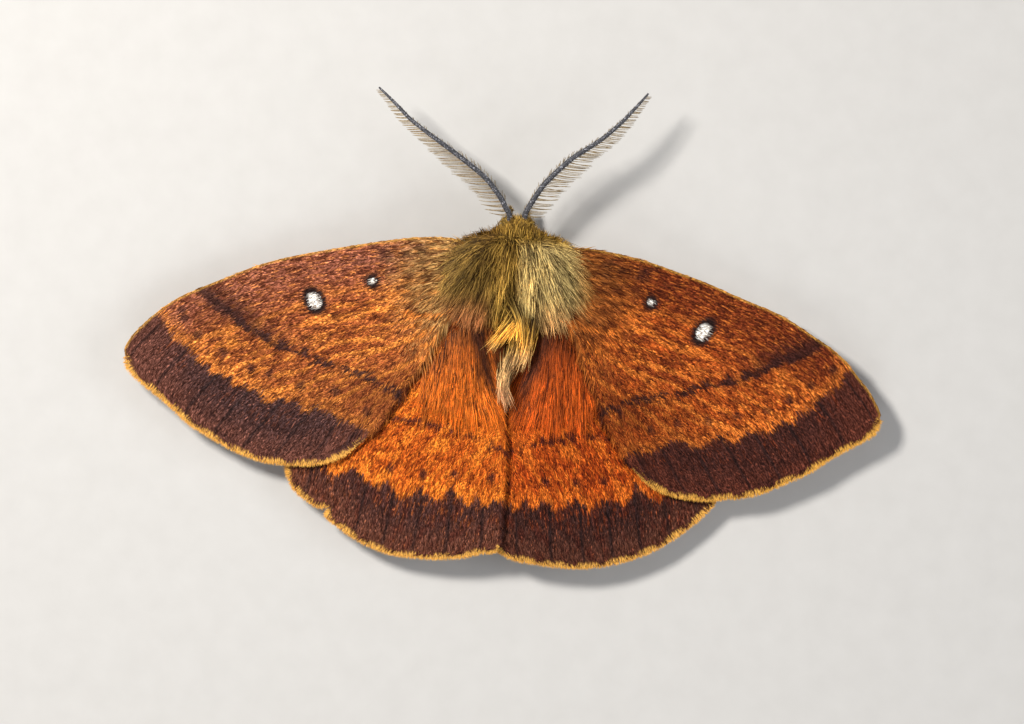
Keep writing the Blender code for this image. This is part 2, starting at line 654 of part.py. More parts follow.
def leg(which, side):
    """One leg from the hip to the toe, standing on a small flat."""
    joints = np.array([*LEGS[which][:-1], (*LEGS[which][-1], FOOT_HEIGHT)]) * (side, 1, 1)
    hip, knee, ankle, toe = joints[1], joints[2], joints[3], joints[4]
    name = f"leg_{which}_{SIDE_NAME[side]}"
    upper = [joints[0], hip, hip + (knee - hip) * 0.1]
    made = rod(name, upper, [HIP_RADIUS, HIP_RADIUS, FEMUR_RADIUS * 0.8], BROWN)
    thigh = curve_points([hip, (hip + knee) / 2, knee, knee + (knee - hip) * 0.06], 5)
    shin = curve_points([knee, (knee + ankle) / 2, ankle], 5)
    heel = ankle + (toe - ankle) * (FOOT_DOWN, FOOT_DOWN, 1)
    foot = [ankle, ankle + (heel - ankle) * 0.5, heel, (heel + toe) / 2, toe]
    pieces = [
        rod("thigh", thigh, [0.36, FEMUR_RADIUS, FEMUR_RADIUS, 0.38, 0.26], BROWN),
        rod("shin", shin, [0.3, TIBIA_RADIUS, TIBIA_RADIUS, 0.34, 0.26], BROWN),
        rod("foot", foot, [TARSUS_RADIUS] * 5, BROWN, FOOT_SIDES),
    ]
    boolean(made, pieces, "UNION")
    made = boolean(made, [thorax_cutter()], "DIFFERENCE")
    for vertex in made.data.vertices:
        vertex.co.z = max(vertex.co.z, 0.0)
    return made


def stand_on_origin(parts):
    """Hangs every part on one empty and puts the middle of the whole outline over the origin."""
    bpy.context.view_layer.update()
    corners = np.array([part.matrix_world @ v.co for part in parts for v in part.data.vertices])
    low, high = corners.min(0), corners.max(0)
    rig = bpy.data.objects.new("moth", None)
    bpy.context.scene.collection.objects.link(rig)
    rig.location = (-(low[0] + high[0]) / 2, -(low[1] + high[1]) / 2, -low[2])
    for part in parts:
        part.parent = rig


def main():
    """Builds every named part of the moth."""
    random.seed(7)
    for old in list(bpy.data.objects):
        bpy.data.objects.remove(old)
    parts = [thorax(), head(), abdomen()]
    for side in (LEFT, RIGHT):
        parts += [eye(side), palp(side), antenna(side), forewing(side), hindwing(side)]
        parts += [leg(which, side) for which in LEGS]
    stand_on_origin(parts)


main()
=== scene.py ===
"""The visible moth, Anthela connexa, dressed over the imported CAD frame.

Each sub-assembly is a class that holds its sizes and builds and dresses its own pieces. Sizes are in
millimetres in the moth's own frame: the head points to -Y, the moth's left is +X and the floor is
z = 0. "out" is the distance from the midline and "back" the distance behind the middle of the thorax.
"""

from __future__ import annotations

import logging
import math
from collections.abc import Callable
from dataclasses import dataclass, field, replace
from enum import Enum

import bpy
import numpy as np
from mathutils import Matrix, Vector


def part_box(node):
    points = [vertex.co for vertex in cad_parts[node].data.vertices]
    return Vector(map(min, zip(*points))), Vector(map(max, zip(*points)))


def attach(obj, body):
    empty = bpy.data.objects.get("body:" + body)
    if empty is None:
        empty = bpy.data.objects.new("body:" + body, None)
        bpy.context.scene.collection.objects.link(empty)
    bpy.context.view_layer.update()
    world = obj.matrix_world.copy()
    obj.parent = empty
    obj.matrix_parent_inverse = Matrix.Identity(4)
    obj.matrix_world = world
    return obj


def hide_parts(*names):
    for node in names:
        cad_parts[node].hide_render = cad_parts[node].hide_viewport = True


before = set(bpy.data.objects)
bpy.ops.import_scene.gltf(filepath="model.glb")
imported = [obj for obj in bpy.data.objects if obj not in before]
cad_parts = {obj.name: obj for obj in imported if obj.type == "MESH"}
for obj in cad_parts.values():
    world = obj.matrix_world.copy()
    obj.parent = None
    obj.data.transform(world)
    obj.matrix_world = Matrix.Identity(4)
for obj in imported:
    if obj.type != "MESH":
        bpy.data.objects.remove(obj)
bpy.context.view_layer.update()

LOG = logging.getLogger("moth")
MM = 0.001
UV_NAME = "OFBake"
UV_PATCH = 0.003
UPWARDS = (0.0, 0.0, 1.0)
Colour = tuple[float, float, float]
Tint = Callable[[np.ndarray], np.ndarray]


class Side(Enum):
    """The two sides of the moth."""

    LEFT = 1
    RIGHT = -1

    @property
    def label(self) -> str:
        """The side's name as the CAD nodes spell it."""
        return self.name.lower()


# Shared measurements of the body and of the surface that the wings rest on.

THORAX = [
    (-2.9, 3.3, 1.7, 1.5), (-2.4, 3.5, 2.45, 2.1), (-1.5, 3.7, 2.95, 2.55),
    (-0.3, 3.75, 3.1, 2.7), (1.0, 3.6, 2.8, 2.4), (2.1, 3.3, 2.2, 1.9),
]
HEAD = [
    (-4.95, 2.95, 0.85, 0.9), (-4.6, 3.0, 1.2, 1.2), (-4.1, 3.1, 1.42, 1.33),
    (-3.6, 3.1, 1.45, 1.33), (-3.2, 3.1, 1.3, 1.2),
]
ABDOMEN = [
    (2.4, 2.9, 2.0, 1.6), (4.0, 2.45, 2.1, 1.6), (7.0, 2.1, 1.9, 1.4),
    (10.0, 1.75, 1.45, 1.1), (12.2, 1.45, 0.9, 0.72), (13.2, 1.35, 0.4, 0.35),
]
RIDGE_BACK = [-4.0, -1.0, 1.0, 4.0, 7.0, 10.0, 13.0, 16.6]
RIDGE_HEIGHT = [4.0, 4.3, 4.7, 4.95, 4.8, 4.15, 3.35, 2.2]
EDGE_HEIGHT, SPREAD = 1.2, 13.0
OVERLAP_LIFT = {Side.LEFT: 0.11, Side.RIGHT: -0.43}
OVERLAP_WIDTH, OVERLAP_REACH = 1.7, 0.3
HIND_LIFT = 0.34
EYE_OUT, EYE_BACK, EYE_HEIGHT, EYE_RADIUS = 1.12, -3.95, 3.0, 0.72


def resting_height(out: np.ndarray, back: np.ndarray) -> np.ndarray:
    """Height of the surface that the spread hindwings lie on.

    Args:
        out: Distance from the midline.
        back: Distance behind the middle of the thorax.

    Returns:
        The height over the floor.
    """
    ridge = np.interp(back, RIDGE_BACK, RIDGE_HEIGHT)
    fall = 0.5 * (1 + np.cos(np.pi * np.clip(np.abs(out) / SPREAD, 0, 1)))
    return EDGE_HEIGHT + (ridge - EDGE_HEIGHT) * fall


def overlap_lift(side: Side, out: np.ndarray) -> np.ndarray:
    """How far a hindwing is raised or lowered where it meets the other one.

    Args:
        side: The wing's side.
        out: Distance from the midline.

    Returns:
        The height to add.
    """
    share = np.clip((np.asarray(out) - OVERLAP_REACH) / OVERLAP_WIDTH, 0, 1)
    return OVERLAP_LIFT[side] * (1 - share * share * (3 - 2 * share))


def loft_at(sections: list[tuple[float, ...]], back: np.ndarray) -> tuple[np.ndarray, ...]:
    """Middle height, half width and half height of a loft at each distance back."""
    table = np.array(sections)
    return tuple(np.interp(back, table[:, 0], table[:, k]) for k in (1, 2, 3))


def thorax_top(out: np.ndarray, back: np.ndarray) -> np.ndarray:
    """Height of the bare thorax over a point, or of its middle beside it."""
    middle, half_width, half_height = loft_at(THORAX, back)
    return middle + half_height * np.sqrt(np.clip(1 - (out / half_width) ** 2, 0, 1))


def smooth(value: np.ndarray, low: float, high: float) -> np.ndarray:
    """A soft step from 0 at low to 1 at high."""
    share = np.clip((value - low) / (high - low), 0, 1)
    return share * share * (3 - 2 * share)


def unit(vectors: np.ndarray) -> np.ndarray:
    """Each row of an array made one long."""
    return vectors / np.linalg.norm(vectors, axis=1, keepdims=True)


def curve(points: np.ndarray, count: int) -> np.ndarray:
    """Points evenly spaced along a smooth curve.

    Args:
        points: The points that the curve passes through.
        count: How many points to return.

    Returns:
        An array of count points.
    """
    knots = np.array(points, float)
    padded = np.vstack([2 * knots[0] - knots[1], knots, 2 * knots[-1] - knots[-2]])
    share = np.linspace(0, 1, 16, endpoint=False)[:, None]
    fine = []
    for i in range(len(knots) - 1):
        before, start, end, after = padded[i : i + 4]
        bend = 2 * before - 5 * start + 4 * end - after
        twist = 3 * start - before - 3 * end + after
        fine.append(0.5 * (2 * start + (end - before) * share + bend * share**2 + twist * share**3))
    fine = np.vstack([*fine, knots[-1:]])
    travelled = np.concatenate([[0], np.cumsum(np.linalg.norm(np.diff(fine, axis=0), axis=1))])
    wanted = np.linspace(0, travelled[-1], count)
    return np.column_stack([np.interp(wanted, travelled, fine[:, k]) for k in range(fine.shape[1])])


def distance_to_line(points: np.ndarray, line: np.ndarray) -> np.ndarray:
    """Distance from each plan point to the nearest part of a line.

    Args:
        points: The plan points.
        line: The points of the line.

    Returns:
        One distance for each plan point.
    """
    nearest = np.full(len(points), np.inf)
    for start, end in zip(line[:-1], line[1:]):
        along = end - start
        share = np.clip((points - start) @ along / max(along @ along, 1e-12), 0, 1)
        nearest = np.minimum(nearest, np.linalg.norm(points - start - share[:, None] * along, axis=1))
    return nearest


def inside(points: np.ndarray, outline: np.ndarray) -> np.ndarray:
    """Whether each plan point lies within a closed outline.

    Args:
        points: The plan points.
        outline: The corners of the outline.

    Returns:
        One truth value for each plan point.
    """
    odd = np.zeros(len(points), bool)
    for start, end in zip(outline, np.roll(outline, -1, axis=0)):
        crosses = (start[1] > points[:, 1]) != (end[1] > points[:, 1])
        rise = end[1] - start[1] if abs(end[1] - start[1]) > 1e-9 else 1e-9
        crossing = start[0] + (points[:, 1] - start[1]) * (end[0] - start[0]) / rise
        odd ^= crosses & (points[:, 0] < crossing)
    return odd


@dataclass(frozen=True)
class RowFrame:
    """Where the moth's own frame lies in the row frame of the CAD."""

    shift: tuple[float, float, float]

    @classmethod
    def from_eyes(cls) -> RowFrame:
        """Finds the shift from the boxes of the two packed eyes."""
        boxes = [np.array(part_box(f"eye_{side.label}"), float) for side in Side]
        middle = np.mean([box.mean(0) for box in boxes], axis=0)
        return cls(tuple(middle - np.array([0.0, EYE_BACK, EYE_HEIGHT]) * MM))

    def place(self, points: np.ndarray) -> np.ndarray:
        """Points of the moth's frame in metres of the row frame."""
        return np.asarray(points, float) * MM + self.shift


PLACE = RowFrame.from_eyes()


def mesh_object(
    name: str,
    points: np.ndarray,
    faces: np.ndarray,
    material: bpy.types.Material,
    fields: dict[str, np.ndarray] | None = None,
    uv: np.ndarray | None = None,
    soft: bool = True,
) -> bpy.types.Object:
    """Makes a mesh object from arrays.

    Args:
        name: Name of the object.
        points: Vertex positions in the moth's frame.
        faces: Vertex numbers, with the same number of corners for every face.
        material: The finish.
        fields: Named values for each vertex, one or three per vertex.
        uv: Map position of each vertex for the bake.
        soft: Whether the faces are shaded smooth.

    Returns:
        The linked object.
    """
    faces = np.asarray(faces, np.int32)
    mesh = bpy.data.meshes.new(name)
    mesh.vertices.add(len(points))
    mesh.vertices.foreach_set("co", PLACE.place(points).astype(np.float32).ravel())
    mesh.loops.add(faces.size)
    mesh.loops.foreach_set("vertex_index", faces.ravel())
    mesh.polygons.add(len(faces))
    mesh.polygons.foreach_set("loop_start", np.arange(0, faces.size, faces.shape[1], dtype=np.int32))
    mesh.update(calc_edges=True)
    for key, values in (fields or {}).items():
        values = np.asarray(values, np.float32)
        kind, slot = ("FLOAT", "value") if values.ndim == 1 else ("FLOAT_VECTOR", "vector")
        mesh.attributes.new(key, kind, "POINT").data.foreach_set(slot, values.ravel())
    if uv is not None:
        corners = uv[faces.ravel()].astype(np.float32)
        mesh.uv_layers.new(name=UV_NAME).uv.foreach_set("vector", corners.ravel())
    mesh.polygons.foreach_set("use_smooth", np.full(len(faces), soft))
    mesh.materials.append(material)
    made = bpy.data.objects.new(name, mesh)
    bpy.context.scene.collection.objects.link(made)
    LOG.info("%s: %d faces", name, len(faces))
    return made


class Graph:
    """A short way to write the node tree of one finish."""

    def __init__(self, name: str, roughness: float = 0.6, specular: float = 0.35) -> None:
        """Starts a Principled material.

        Args:
            name: Name of the material.
            roughness: Roughness on the shader's own socket.
            specular: Specular level on the shader's own socket.
        """
        self.material = bpy.data.materials.new(name)
        self.material.use_nodes = True
        self.tree = self.material.node_tree
        self.shader = self.tree.nodes["Principled BSDF"]
        self.shader.inputs["Roughness"].default_value = roughness
        self.shader.inputs["Specular IOR Level"].default_value = specular

    def put(self, socket: bpy.types.NodeSocket, value: object) -> None:
        """Links a socket to another one, or writes a constant on it.

        Args:
            socket: The input to fill.
            value: A socket, a colour or a number.
        """
        if isinstance(value, bpy.types.NodeSocket):
            self.tree.links.new(value, socket)
        elif isinstance(value, tuple) and socket.type == "RGBA":
            socket.default_value = (*value, 1.0)
        else:
            socket.default_value = value

    def node(self, kind: str, inputs: dict[object, object], **settings: object) -> bpy.types.Node:
        """Adds a node and fills its inputs.

        Args:
            kind: Type of the node.
            inputs: Values or sockets by the name or number of the input.
            settings: Properties of the node.

        Returns:
            The node.
        """
        made = self.tree.nodes.new(kind)
        for key, value in settings.items():
            setattr(made, key, value)
        for key, value in inputs.items():
            self.put(made.inputs[key], value)
        return made

    def math(self, operation: str, first: object, second: object = 0.0) -> object:
        """The result of one sum on two values."""
        return self.node("ShaderNodeMath", {0: first, 1: second}, operation=operation).outputs[0]

    def plus(self, first: object, second: object) -> object:
        """Two values added."""
        return self.math("ADD", first, second)

    def times(self, first: object, *others: object) -> object:
        """The product of two or more values.

        Args:
            first: A socket or number.
            others: The values to multiply it by.

        Returns:
            The socket of the product.
        """
        for other in others:
            first = self.math("MULTIPLY", first, other)
        return first

    def mix(self, factor: object, first: object, second: object, blend: str = "MIX") -> object:
        """Two colours blended by a factor.

        Args:
            factor: Share of the second colour.
            first: The first colour.
            second: The second colour.
            blend: How they are blended.

        Returns:
            The socket of the colour.
        """
        made = self.tree.nodes.new("ShaderNodeMix")
        made.data_type = "RGBA"
        made.blend_type = blend
        self.put(made.inputs[0], factor)
        self.put(made.inputs[6], first)
        self.put(made.inputs[7], second)
        return made.outputs[2]

    def step(self, value: object, low: float, high: float) -> object:
        """A soft step in a node.

        Args:
            value: The value to compare.
            low: Where the step is 0.
            high: Where the step is 1, which may be less than low.

        Returns:
            The socket of the step.
        """
        inputs = {"Value": value, "From Min": low, "From Max": high}
        made = self.node("ShaderNodeMapRange", inputs, interpolation_type="SMOOTHSTEP", clamp=True)
        return made.outputs["Result"]

    def field(self, name: str) -> bpy.types.Node:
        """The attribute node of a named field."""
        return self.node("ShaderNodeAttribute", {}, attribute_name=name)

    def parts(self, name: str) -> list[object]:
        """The three values of a vector field."""
        split = self.node("ShaderNodeSeparateXYZ", {0: self.field(name).outputs["Vector"]})
        return [split.outputs[k] for k in range(3)]

    def noise(
        self, scale: float, detail: float = 2.0, vector: object = None, stretch: tuple[float, ...] = (1, 1, 1)
    ) -> object:
        """Noise from 0 to 1, about 0.5 on average.

        Args:
            scale: Repeats per millimetre, or per unit of the vector.
            detail: Octaves.
            vector: Coordinates to use; the object's own in millimetres by default.
            stretch: Factors on the coordinates.

        Returns:
            The socket of the noise.
        """
        if vector is None:
            vector = self.node("ShaderNodeTexCoord", {}).outputs["Object"]
            stretch = tuple(s / MM for s in stretch)
        scaled = self.node("ShaderNodeVectorMath", {0: vector, 1: stretch}, operation="MULTIPLY")
        inputs = {"Vector": scaled.outputs[0], "Scale": scale, "Detail": detail}
        return self.node("ShaderNodeTexNoise", inputs).outputs["Fac"]

    def bump(self, height: object, distance: float, strength: float = 1.0) -> None:
        """Raises the surface by a height field, with the distance in millimetres."""
        inputs = {"Height": height, "Distance": distance * MM, "Strength": strength}
        self.put(self.shader.inputs["Normal"], self.node("ShaderNodeBump", inputs).outputs[0])

    def finish(self, colour: object) -> bpy.types.Material:
        """Sets the base colour and returns the material."""
        self.put(self.shader.inputs["Base Color"], colour)
        return self.material


@dataclass(frozen=True)
class CoatFinish:
    """Hair whose colour is carried by each hair, darkened towards its root by painted shade."""

    name: str
    root_shade: float = 0.18
    tip_shade: float = 1.5
    roughness: float = 0.6
    specular: float = 0.18
    dark: Colour = (0.16, 0.11, 0.08)
    light: Colour = (2.3, 2.35, 2.3)

    def material(self) -> bpy.types.Material:
        """The finish as a node material.

        Returns:
            The material, in which some hairs are far darker than others.
        """
        graph = Graph(self.name, self.roughness, self.specular)
        along, tone, _ = graph.parts("strand")
        # Painted shade: each hair darkens from tip_shade at its tip to root_shade at its root, deep in the
        # coat.
        shade = graph.node(
            "ShaderNodeMapRange", {"Value": along, "To Min": self.root_shade, "To Max": self.tip_shade}
        ).outputs["Result"]
        fleck = graph.plus(0.82, graph.times(graph.noise(3.0, 3.0), 0.36))
        shade = graph.times(shade, fleck)
        spread = graph.mix(graph.math("POWER", tone, 1.4), self.dark, self.light)
        colour = graph.mix(1.0, graph.field("tint").outputs["Color"], spread, "MULTIPLY")
        return graph.finish(graph.mix(1.0, colour, shade, "MULTIPLY"))


@dataclass(frozen=True)
class SkinFinish:
    """Bare skin under the coat, in the coat's own colours darkened by painted shade, as it lies under the
    hair.
    """

    name: str
    shade: float = 0.45

    def material(self) -> bpy.types.Material:
        """The finish as a node material.

        Returns:
            The material.
        """
        graph = Graph(self.name, 0.75, 0.2)
        grain = graph.noise(6.0, 4.0)
        # The shade factor is painted shade: the skin lies deep under the hair.
        level = graph.times(graph.plus(0.6, graph.times(grain, 0.8)), self.shade)
        graph.bump(grain, 0.06)
        return graph.finish(graph.mix(1.0, graph.field("tint").outputs["Color"], level, "MULTIPLY"))


@dataclass(frozen=True)
class WingFinish:
    """The markings of a wing, which its skin and its scales share."""

    name: str
    ground: Colour
    ground_dark: Colour
    ground_light: Colour
    costal: Colour
    basal: Colour
    band: Colour
    line: Colour
    border: Colour
    border_edge: Colour
    fringe: Colour
    line_width: float
    dot_strength: float
    between_shade: float
    forewing: bool
    scales: bool = False
    vein: Colour = (0.011, 0.007, 0.007)
    spot_ring: Colour = (0.022, 0.009, 0.007)
    spot_white: Colour = (0.74, 0.66, 0.55)
    pepper: tuple[Colour, Colour] = ((0.4, 0.34, 0.3), (1.5, 1.55, 1.6))
    scale_shades: tuple[Colour, Colour] = ((0.28, 0.18, 0.12), (2.05, 2.3, 2.6))

    def material(self) -> bpy.types.Material:
        """The finish as a node material.

        Returns:
            The material.
        """
        paint = WingPaint(self)
        paint.lay_ground()
        paint.mottle()
        paint.draw_line()
        paint.draw_border()
        paint.pepper()
        if self.forewing:
            paint.draw_spots()
        paint.edge()
        return paint.finished()


class WingPaint:
    """Paints a wing layer by layer in a node tree, from the distances that its mesh carries."""

    def __init__(self, finish: WingFinish) -> None:
        """Reads the fields and makes the noises.

        Args:
            finish: The colours and widths.
        """
        self.finish = finish
        self.graph = graph = Graph(finish.name, 0.7, 0.12)
        self.border, self.beyond, _ = graph.parts("marks")
        self.margin, self.costa, self.base = graph.parts("edges")
        self.spot, self.vein, self.dots = graph.parts("details")
        self.along, self.tone, self.out = graph.parts("strand")
        lay = graph.field("lay").outputs["Vector"]
        self.streak = graph.noise(1.0, 3.0, lay, (1.6, 9.0, 1.0))
        self.fine = graph.noise(1.0, 2.0, lay, (5.0, 14.0, 1.0))
        self.grain = graph.noise(1.0, 2.0, lay, (6.0, 8.0, 1.0))
        self.cloud = graph.noise(1.0, 3.0, lay, (0.45, 0.6, 1.0))
        self.gold = graph.noise(1.0, 3.0, lay, (0.3, 1.9, 1.0))
        self.patches = graph.noise(1.0, 5.0, lay, (1.3, 1.7, 1.0))
        self.smudges = graph.noise(1.0, 4.0, lay, (0.8, 0.9, 1.0))
        waver = graph.noise(1.0, 3.0, lay, (1.5, 2.2, 1.0))
        self.waver = graph.times(graph.math("SUBTRACT", waver, 0.5), 1.3)
        ragged = graph.noise(1.0, 5.0, lay, (2.2, 3.4, 1.0))
        self.ragged = graph.times(graph.math("SUBTRACT", ragged, 0.5), 1.3)
        self.colour: object = finish.ground

    def over(self, colour: Colour, *shares: object) -> None:
        """Lays a colour over what is painted, by the product of some shares."""
        self.colour = self.graph.mix(self.graph.times(*shares), self.colour, colour)

    def roughened(self, value: object, amount: float) -> object:
        """A distance with a ragged edge."""
        return self.graph.plus(value, self.graph.times(self.ragged, amount))

    def partly(self, share: object, least: float, more: float) -> object:
        """A share moved up to between least and least + more."""
        return self.graph.plus(least, self.graph.times(share, more))

    def lay_ground(self) -> None:
        """Lays the ground, the band beyond the line, the costa and the base."""
        step, finish = self.graph.step, self.finish
        self.over(finish.band, step(self.cloud, 0.35, 0.68))
        self.over(finish.band, step(self.beyond, -0.1, 0.6))
        self.over(finish.costal, step(self.costa, 4.2, 0.8))
        self.over(finish.costal, step(self.out, 0.42, 0.68), step(self.beyond, 0.2, -0.3), 0.35)
        self.over(finish.ground_dark, step(self.out, 0.45, 0.85), step(self.costa, 0.6, 2.4), 0.34)
        self.over(finish.basal, step(self.roughened(self.base, 3.0), 6.2, 1.5))

    def mottle(self) -> None:
        """Adds light streaks, and golden, dark and flame-coloured patches."""
        step, plus, finish = self.graph.step, self.graph.plus, self.finish
        self.over(finish.ground_light, step(self.streak, 0.5, 0.68), 0.5)
        gold = self.graph.times(step(self.gold, 0.48, 0.6), step(self.costa, 1.8, 4.4))
        self.over(finish.ground_light, gold, self.partly(step(self.base, 13.0, 6.0), 0.22, 0.6))
        self.over(finish.ground_dark, step(plus(self.streak, self.patches), 1.02, 0.86), 0.8)
        flame = self.graph.times(step(plus(self.gold, self.patches), 1.02, 1.16), step(self.costa, 1.6, 4.0))
        self.over(finish.ground_light, flame, self.partly(step(self.beyond, 0.0, 0.4), 0.45, 0.4))
        between = self.graph.times(step(self.border, -0.9, -1.7), step(self.beyond, 0.0, 0.5))
        self.over(finish.ground_dark, between, finish.between_shade)

    def draw_line(self) -> None:
        """Adds the line in its dark surroundings, the glow before the border, and the dots."""
        step, plus, times, finish = self.graph.step, self.graph.plus, self.graph.times, self.finish
        smudge = times(step(self.base, 9.0, 4.0), step(self.costa, 3.2, 1.0))
        self.over(finish.line, smudge, step(self.smudges, 0.5, 0.62), 0.75)
        shade = times(step(self.beyond, -1.7, -0.2), step(self.beyond, 0.45, 0.0), step(self.out, 0.5, 0.74))
        self.over(finish.line, shade, step(self.patches, 0.24, 0.52), 0.88)
        self.over(finish.ground_light, step(self.border, -1.0, -0.1), step(self.streak, 0.35, 0.6), 0.75)
        if finish.forewing:
            self.over(finish.ground_dark, step(self.costa, 6.8, 9.2), 0.4)
        away = self.roughened(self.graph.math("ABSOLUTE", plus(self.beyond, self.waver)), 0.4)
        away = plus(away, self.graph.math("SUBTRACT", self.patches, 0.46))
        drawn = step(away, finish.line_width * 0.85, finish.line_width * 0.35)
        self.over(finish.line, drawn, self.partly(step(self.costa, 0.5, 2.0), 0.35, 0.6))
        self.over(finish.line, step(self.roughened(self.dots, 0.4), 0.4, 0.16), finish.dot_strength)

    def draw_border(self) -> None:
        """Adds the dark border with its ragged edge and dark veins."""
        step, finish = self.graph.step, self.finish
        before, self.colour = self.colour, finish.border
        self.over(finish.border_edge, step(self.margin, 2.6, 0.4))
        self.over(finish.border_edge, step(self.streak, 0.5, 0.75), 0.6)
        self.over(finish.line, step(self.patches, 0.52, 0.38), 0.65)
        self.over(finish.border_edge, step(self.out, 0.78, 0.95), 0.75)
        ember = self.graph.times(step(self.streak, 0.54, 0.66), step(self.border, 2.2, 0.3))
        self.over(finish.ground, ember, step(self.cloud, 0.42, 0.58), 0.55)
        self.over(finish.costal, step(self.fine, 0.6, 0.7), 0.5)
        self.over(finish.vein, step(self.vein, 0.14, 0.04), 0.65)
        within = step(self.roughened(self.border, 1.1), -0.12, 0.14)
        self.colour = self.graph.mix(within, before, self.colour)

    def pepper(self) -> None:
        """Adds light and dark grains."""
        pepper = self.graph.mix(self.graph.step(self.grain, 0.34, 0.64), *self.finish.pepper)
        self.colour = self.graph.mix(1.0, self.colour, pepper, "MULTIPLY")

    def draw_spots(self) -> None:
        """Adds the ringed white spots and the pale rim of the costa."""
        step = self.graph.step
        self.over(self.finish.spot_ring, step(self.spot, 0.46, 0.16))
        self.over(self.finish.spot_white, step(self.spot, 0.05, -0.07))
        self.over(self.finish.fringe, step(self.costa, 0.2, 0.06), 0.5)

    def edge(self) -> None:
        """Adds the hem and the fringe."""
        self.over(self.finish.border_edge, self.graph.step(self.margin, 0.3, 0.12))
        self.over(self.finish.fringe, self.graph.step(self.roughened(self.margin, 0.12), 0.16, -0.06))

    def finished(self) -> bpy.types.Material:
        """Varies the scales, adds the relief and ends the finish.

        Returns:
            The material.
        """
        level = self.graph.step(self.fine, 0.3, 0.7)
        if self.finish.scales:
            level = self.graph.times(self.tone, self.partly(self.along, 0.7, 0.3))
        shade = self.graph.mix(level, *self.finish.scale_shades)
        self.graph.bump(self.graph.plus(self.streak, self.fine), 0.05, 0.8)
        return self.graph.finish(self.graph.mix(1.0, self.colour, shade, "MULTIPLY"))


@dataclass
class Coat:
    """Gathers tapered blades and makes one coat piece of them."""

    name: str
    material: bpy.types.Material
    points: list[np.ndarray] = field(default_factory=list)
    faces: list[np.ndarray] = field(default_factory=list)
    fields: dict[str, list[np.ndarray]] = field(default_factory=dict)
    maps: list[np.ndarray] = field(default_factory=list)
    count: int = 0

    def add(
        self,
        paths: np.ndarray,
        width: np.ndarray,
        up: np.ndarray | tuple[float, float, float],
        uv: np.ndarray,
        fields: dict[str, np.ndarray],
        flat: float = 0.6,
        taper: tuple[float, ...] = (1.0, 0.85, 0.5, 0.0),
    ) -> None:
        """Adds closed three-sided blades.

        Args:
            paths: Points along each blade, from root to tip, of shape (blades, rings, 3).
            width: Half width of each blade at its widest.
            up: The direction that each blade's back faces, or one for all.
            uv: Where each root lies on the map.
            fields: Values for each blade, or for each blade and ring.
            flat: Thickness as a share of the width.
            taper: Width of each ring as a share of the widest.
        """
        blades, rings = paths.shape[:2]
        ahead = np.gradient(paths, axis=1)
        ahead /= np.linalg.norm(ahead, axis=2, keepdims=True) + 1e-12
        across = np.cross(ahead, np.broadcast_to(np.reshape(up, (-1, 1, 3)), paths.shape))
        across /= np.linalg.norm(across, axis=2, keepdims=True) + 1e-12
        over = np.cross(across, ahead)
        turns = np.radians([90.0, 210.0, 330.0])
        shape = np.array(taper[: rings - 1])[None, :, None]
        size = width[:, None, None] * shape
        corners = []
        for turn in turns:
            outwards = math.cos(turn) * across[:, :-1] + flat * math.sin(turn) * over[:, :-1]
            corners.append(paths[:, :-1] + size * outwards)
        body = np.stack(corners, axis=2).reshape(blades, -1, 3)
        points = np.concatenate([body, paths[:, -1:]], axis=1)
        per = points.shape[1]
        pattern = [(0, 1, 2)]
        for ring in range(rings - 2):
            for k in range(3):
                a, b = ring * 3 + k, ring * 3 + (k + 1) % 3
                pattern += [(a, a + 3, b), (b, a + 3, b + 3)]
        last = (rings - 2) * 3
        pattern += [(last + k, per - 1, last + (k + 1) % 3) for k in range(3)]
        start = self.count + np.arange(blades)[:, None, None] * per
        self.faces.append((np.array(pattern)[None] + start).reshape(-1, 3))
        self.points.append(points.reshape(-1, 3))
        self.count += blades * per
        ring_of = np.append(np.repeat(np.arange(rings - 1), 3), rings - 1)
        side_of = np.append(np.tile([-0.5, 0.5, 0.0], rings - 1), 0.0)
        along = ring_of / (rings - 1)
        values = [along[None], fields["tone"][:, None], fields.get("outwards", np.zeros(blades))[:, None]]
        strand = np.stack([np.broadcast_to(value, (blades, per)) for value in values], axis=2)
        fields = {key: value for key, value in fields.items() if key not in ("tone", "outwards")}
        fields["strand"] = strand
        for key, values in fields.items():
            values = np.asarray(values, float)
            if key != "strand":
                values = values[:, ring_of] if values.ndim == 3 else np.repeat(values[:, None], per, axis=1)
            self.fields.setdefault(key, []).append(values.reshape(blades * per, -1))
        patch = np.column_stack([side_of, along - 0.5]) * UV_PATCH
        self.maps.append((uv[:, None] + patch[None]).reshape(-1, 2))

    def build(self) -> None:
        """Makes the piece, which rides on the root."""
        joined = {key: np.concatenate(values) for key, values in self.fields.items()}
        made = mesh_object(
            self.name, np.concatenate(self.points), np.concatenate(self.faces), self.material, joined,
            np.clip(np.concatenate(self.maps), 0, 1), soft=False,
        )
        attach(made, "root")


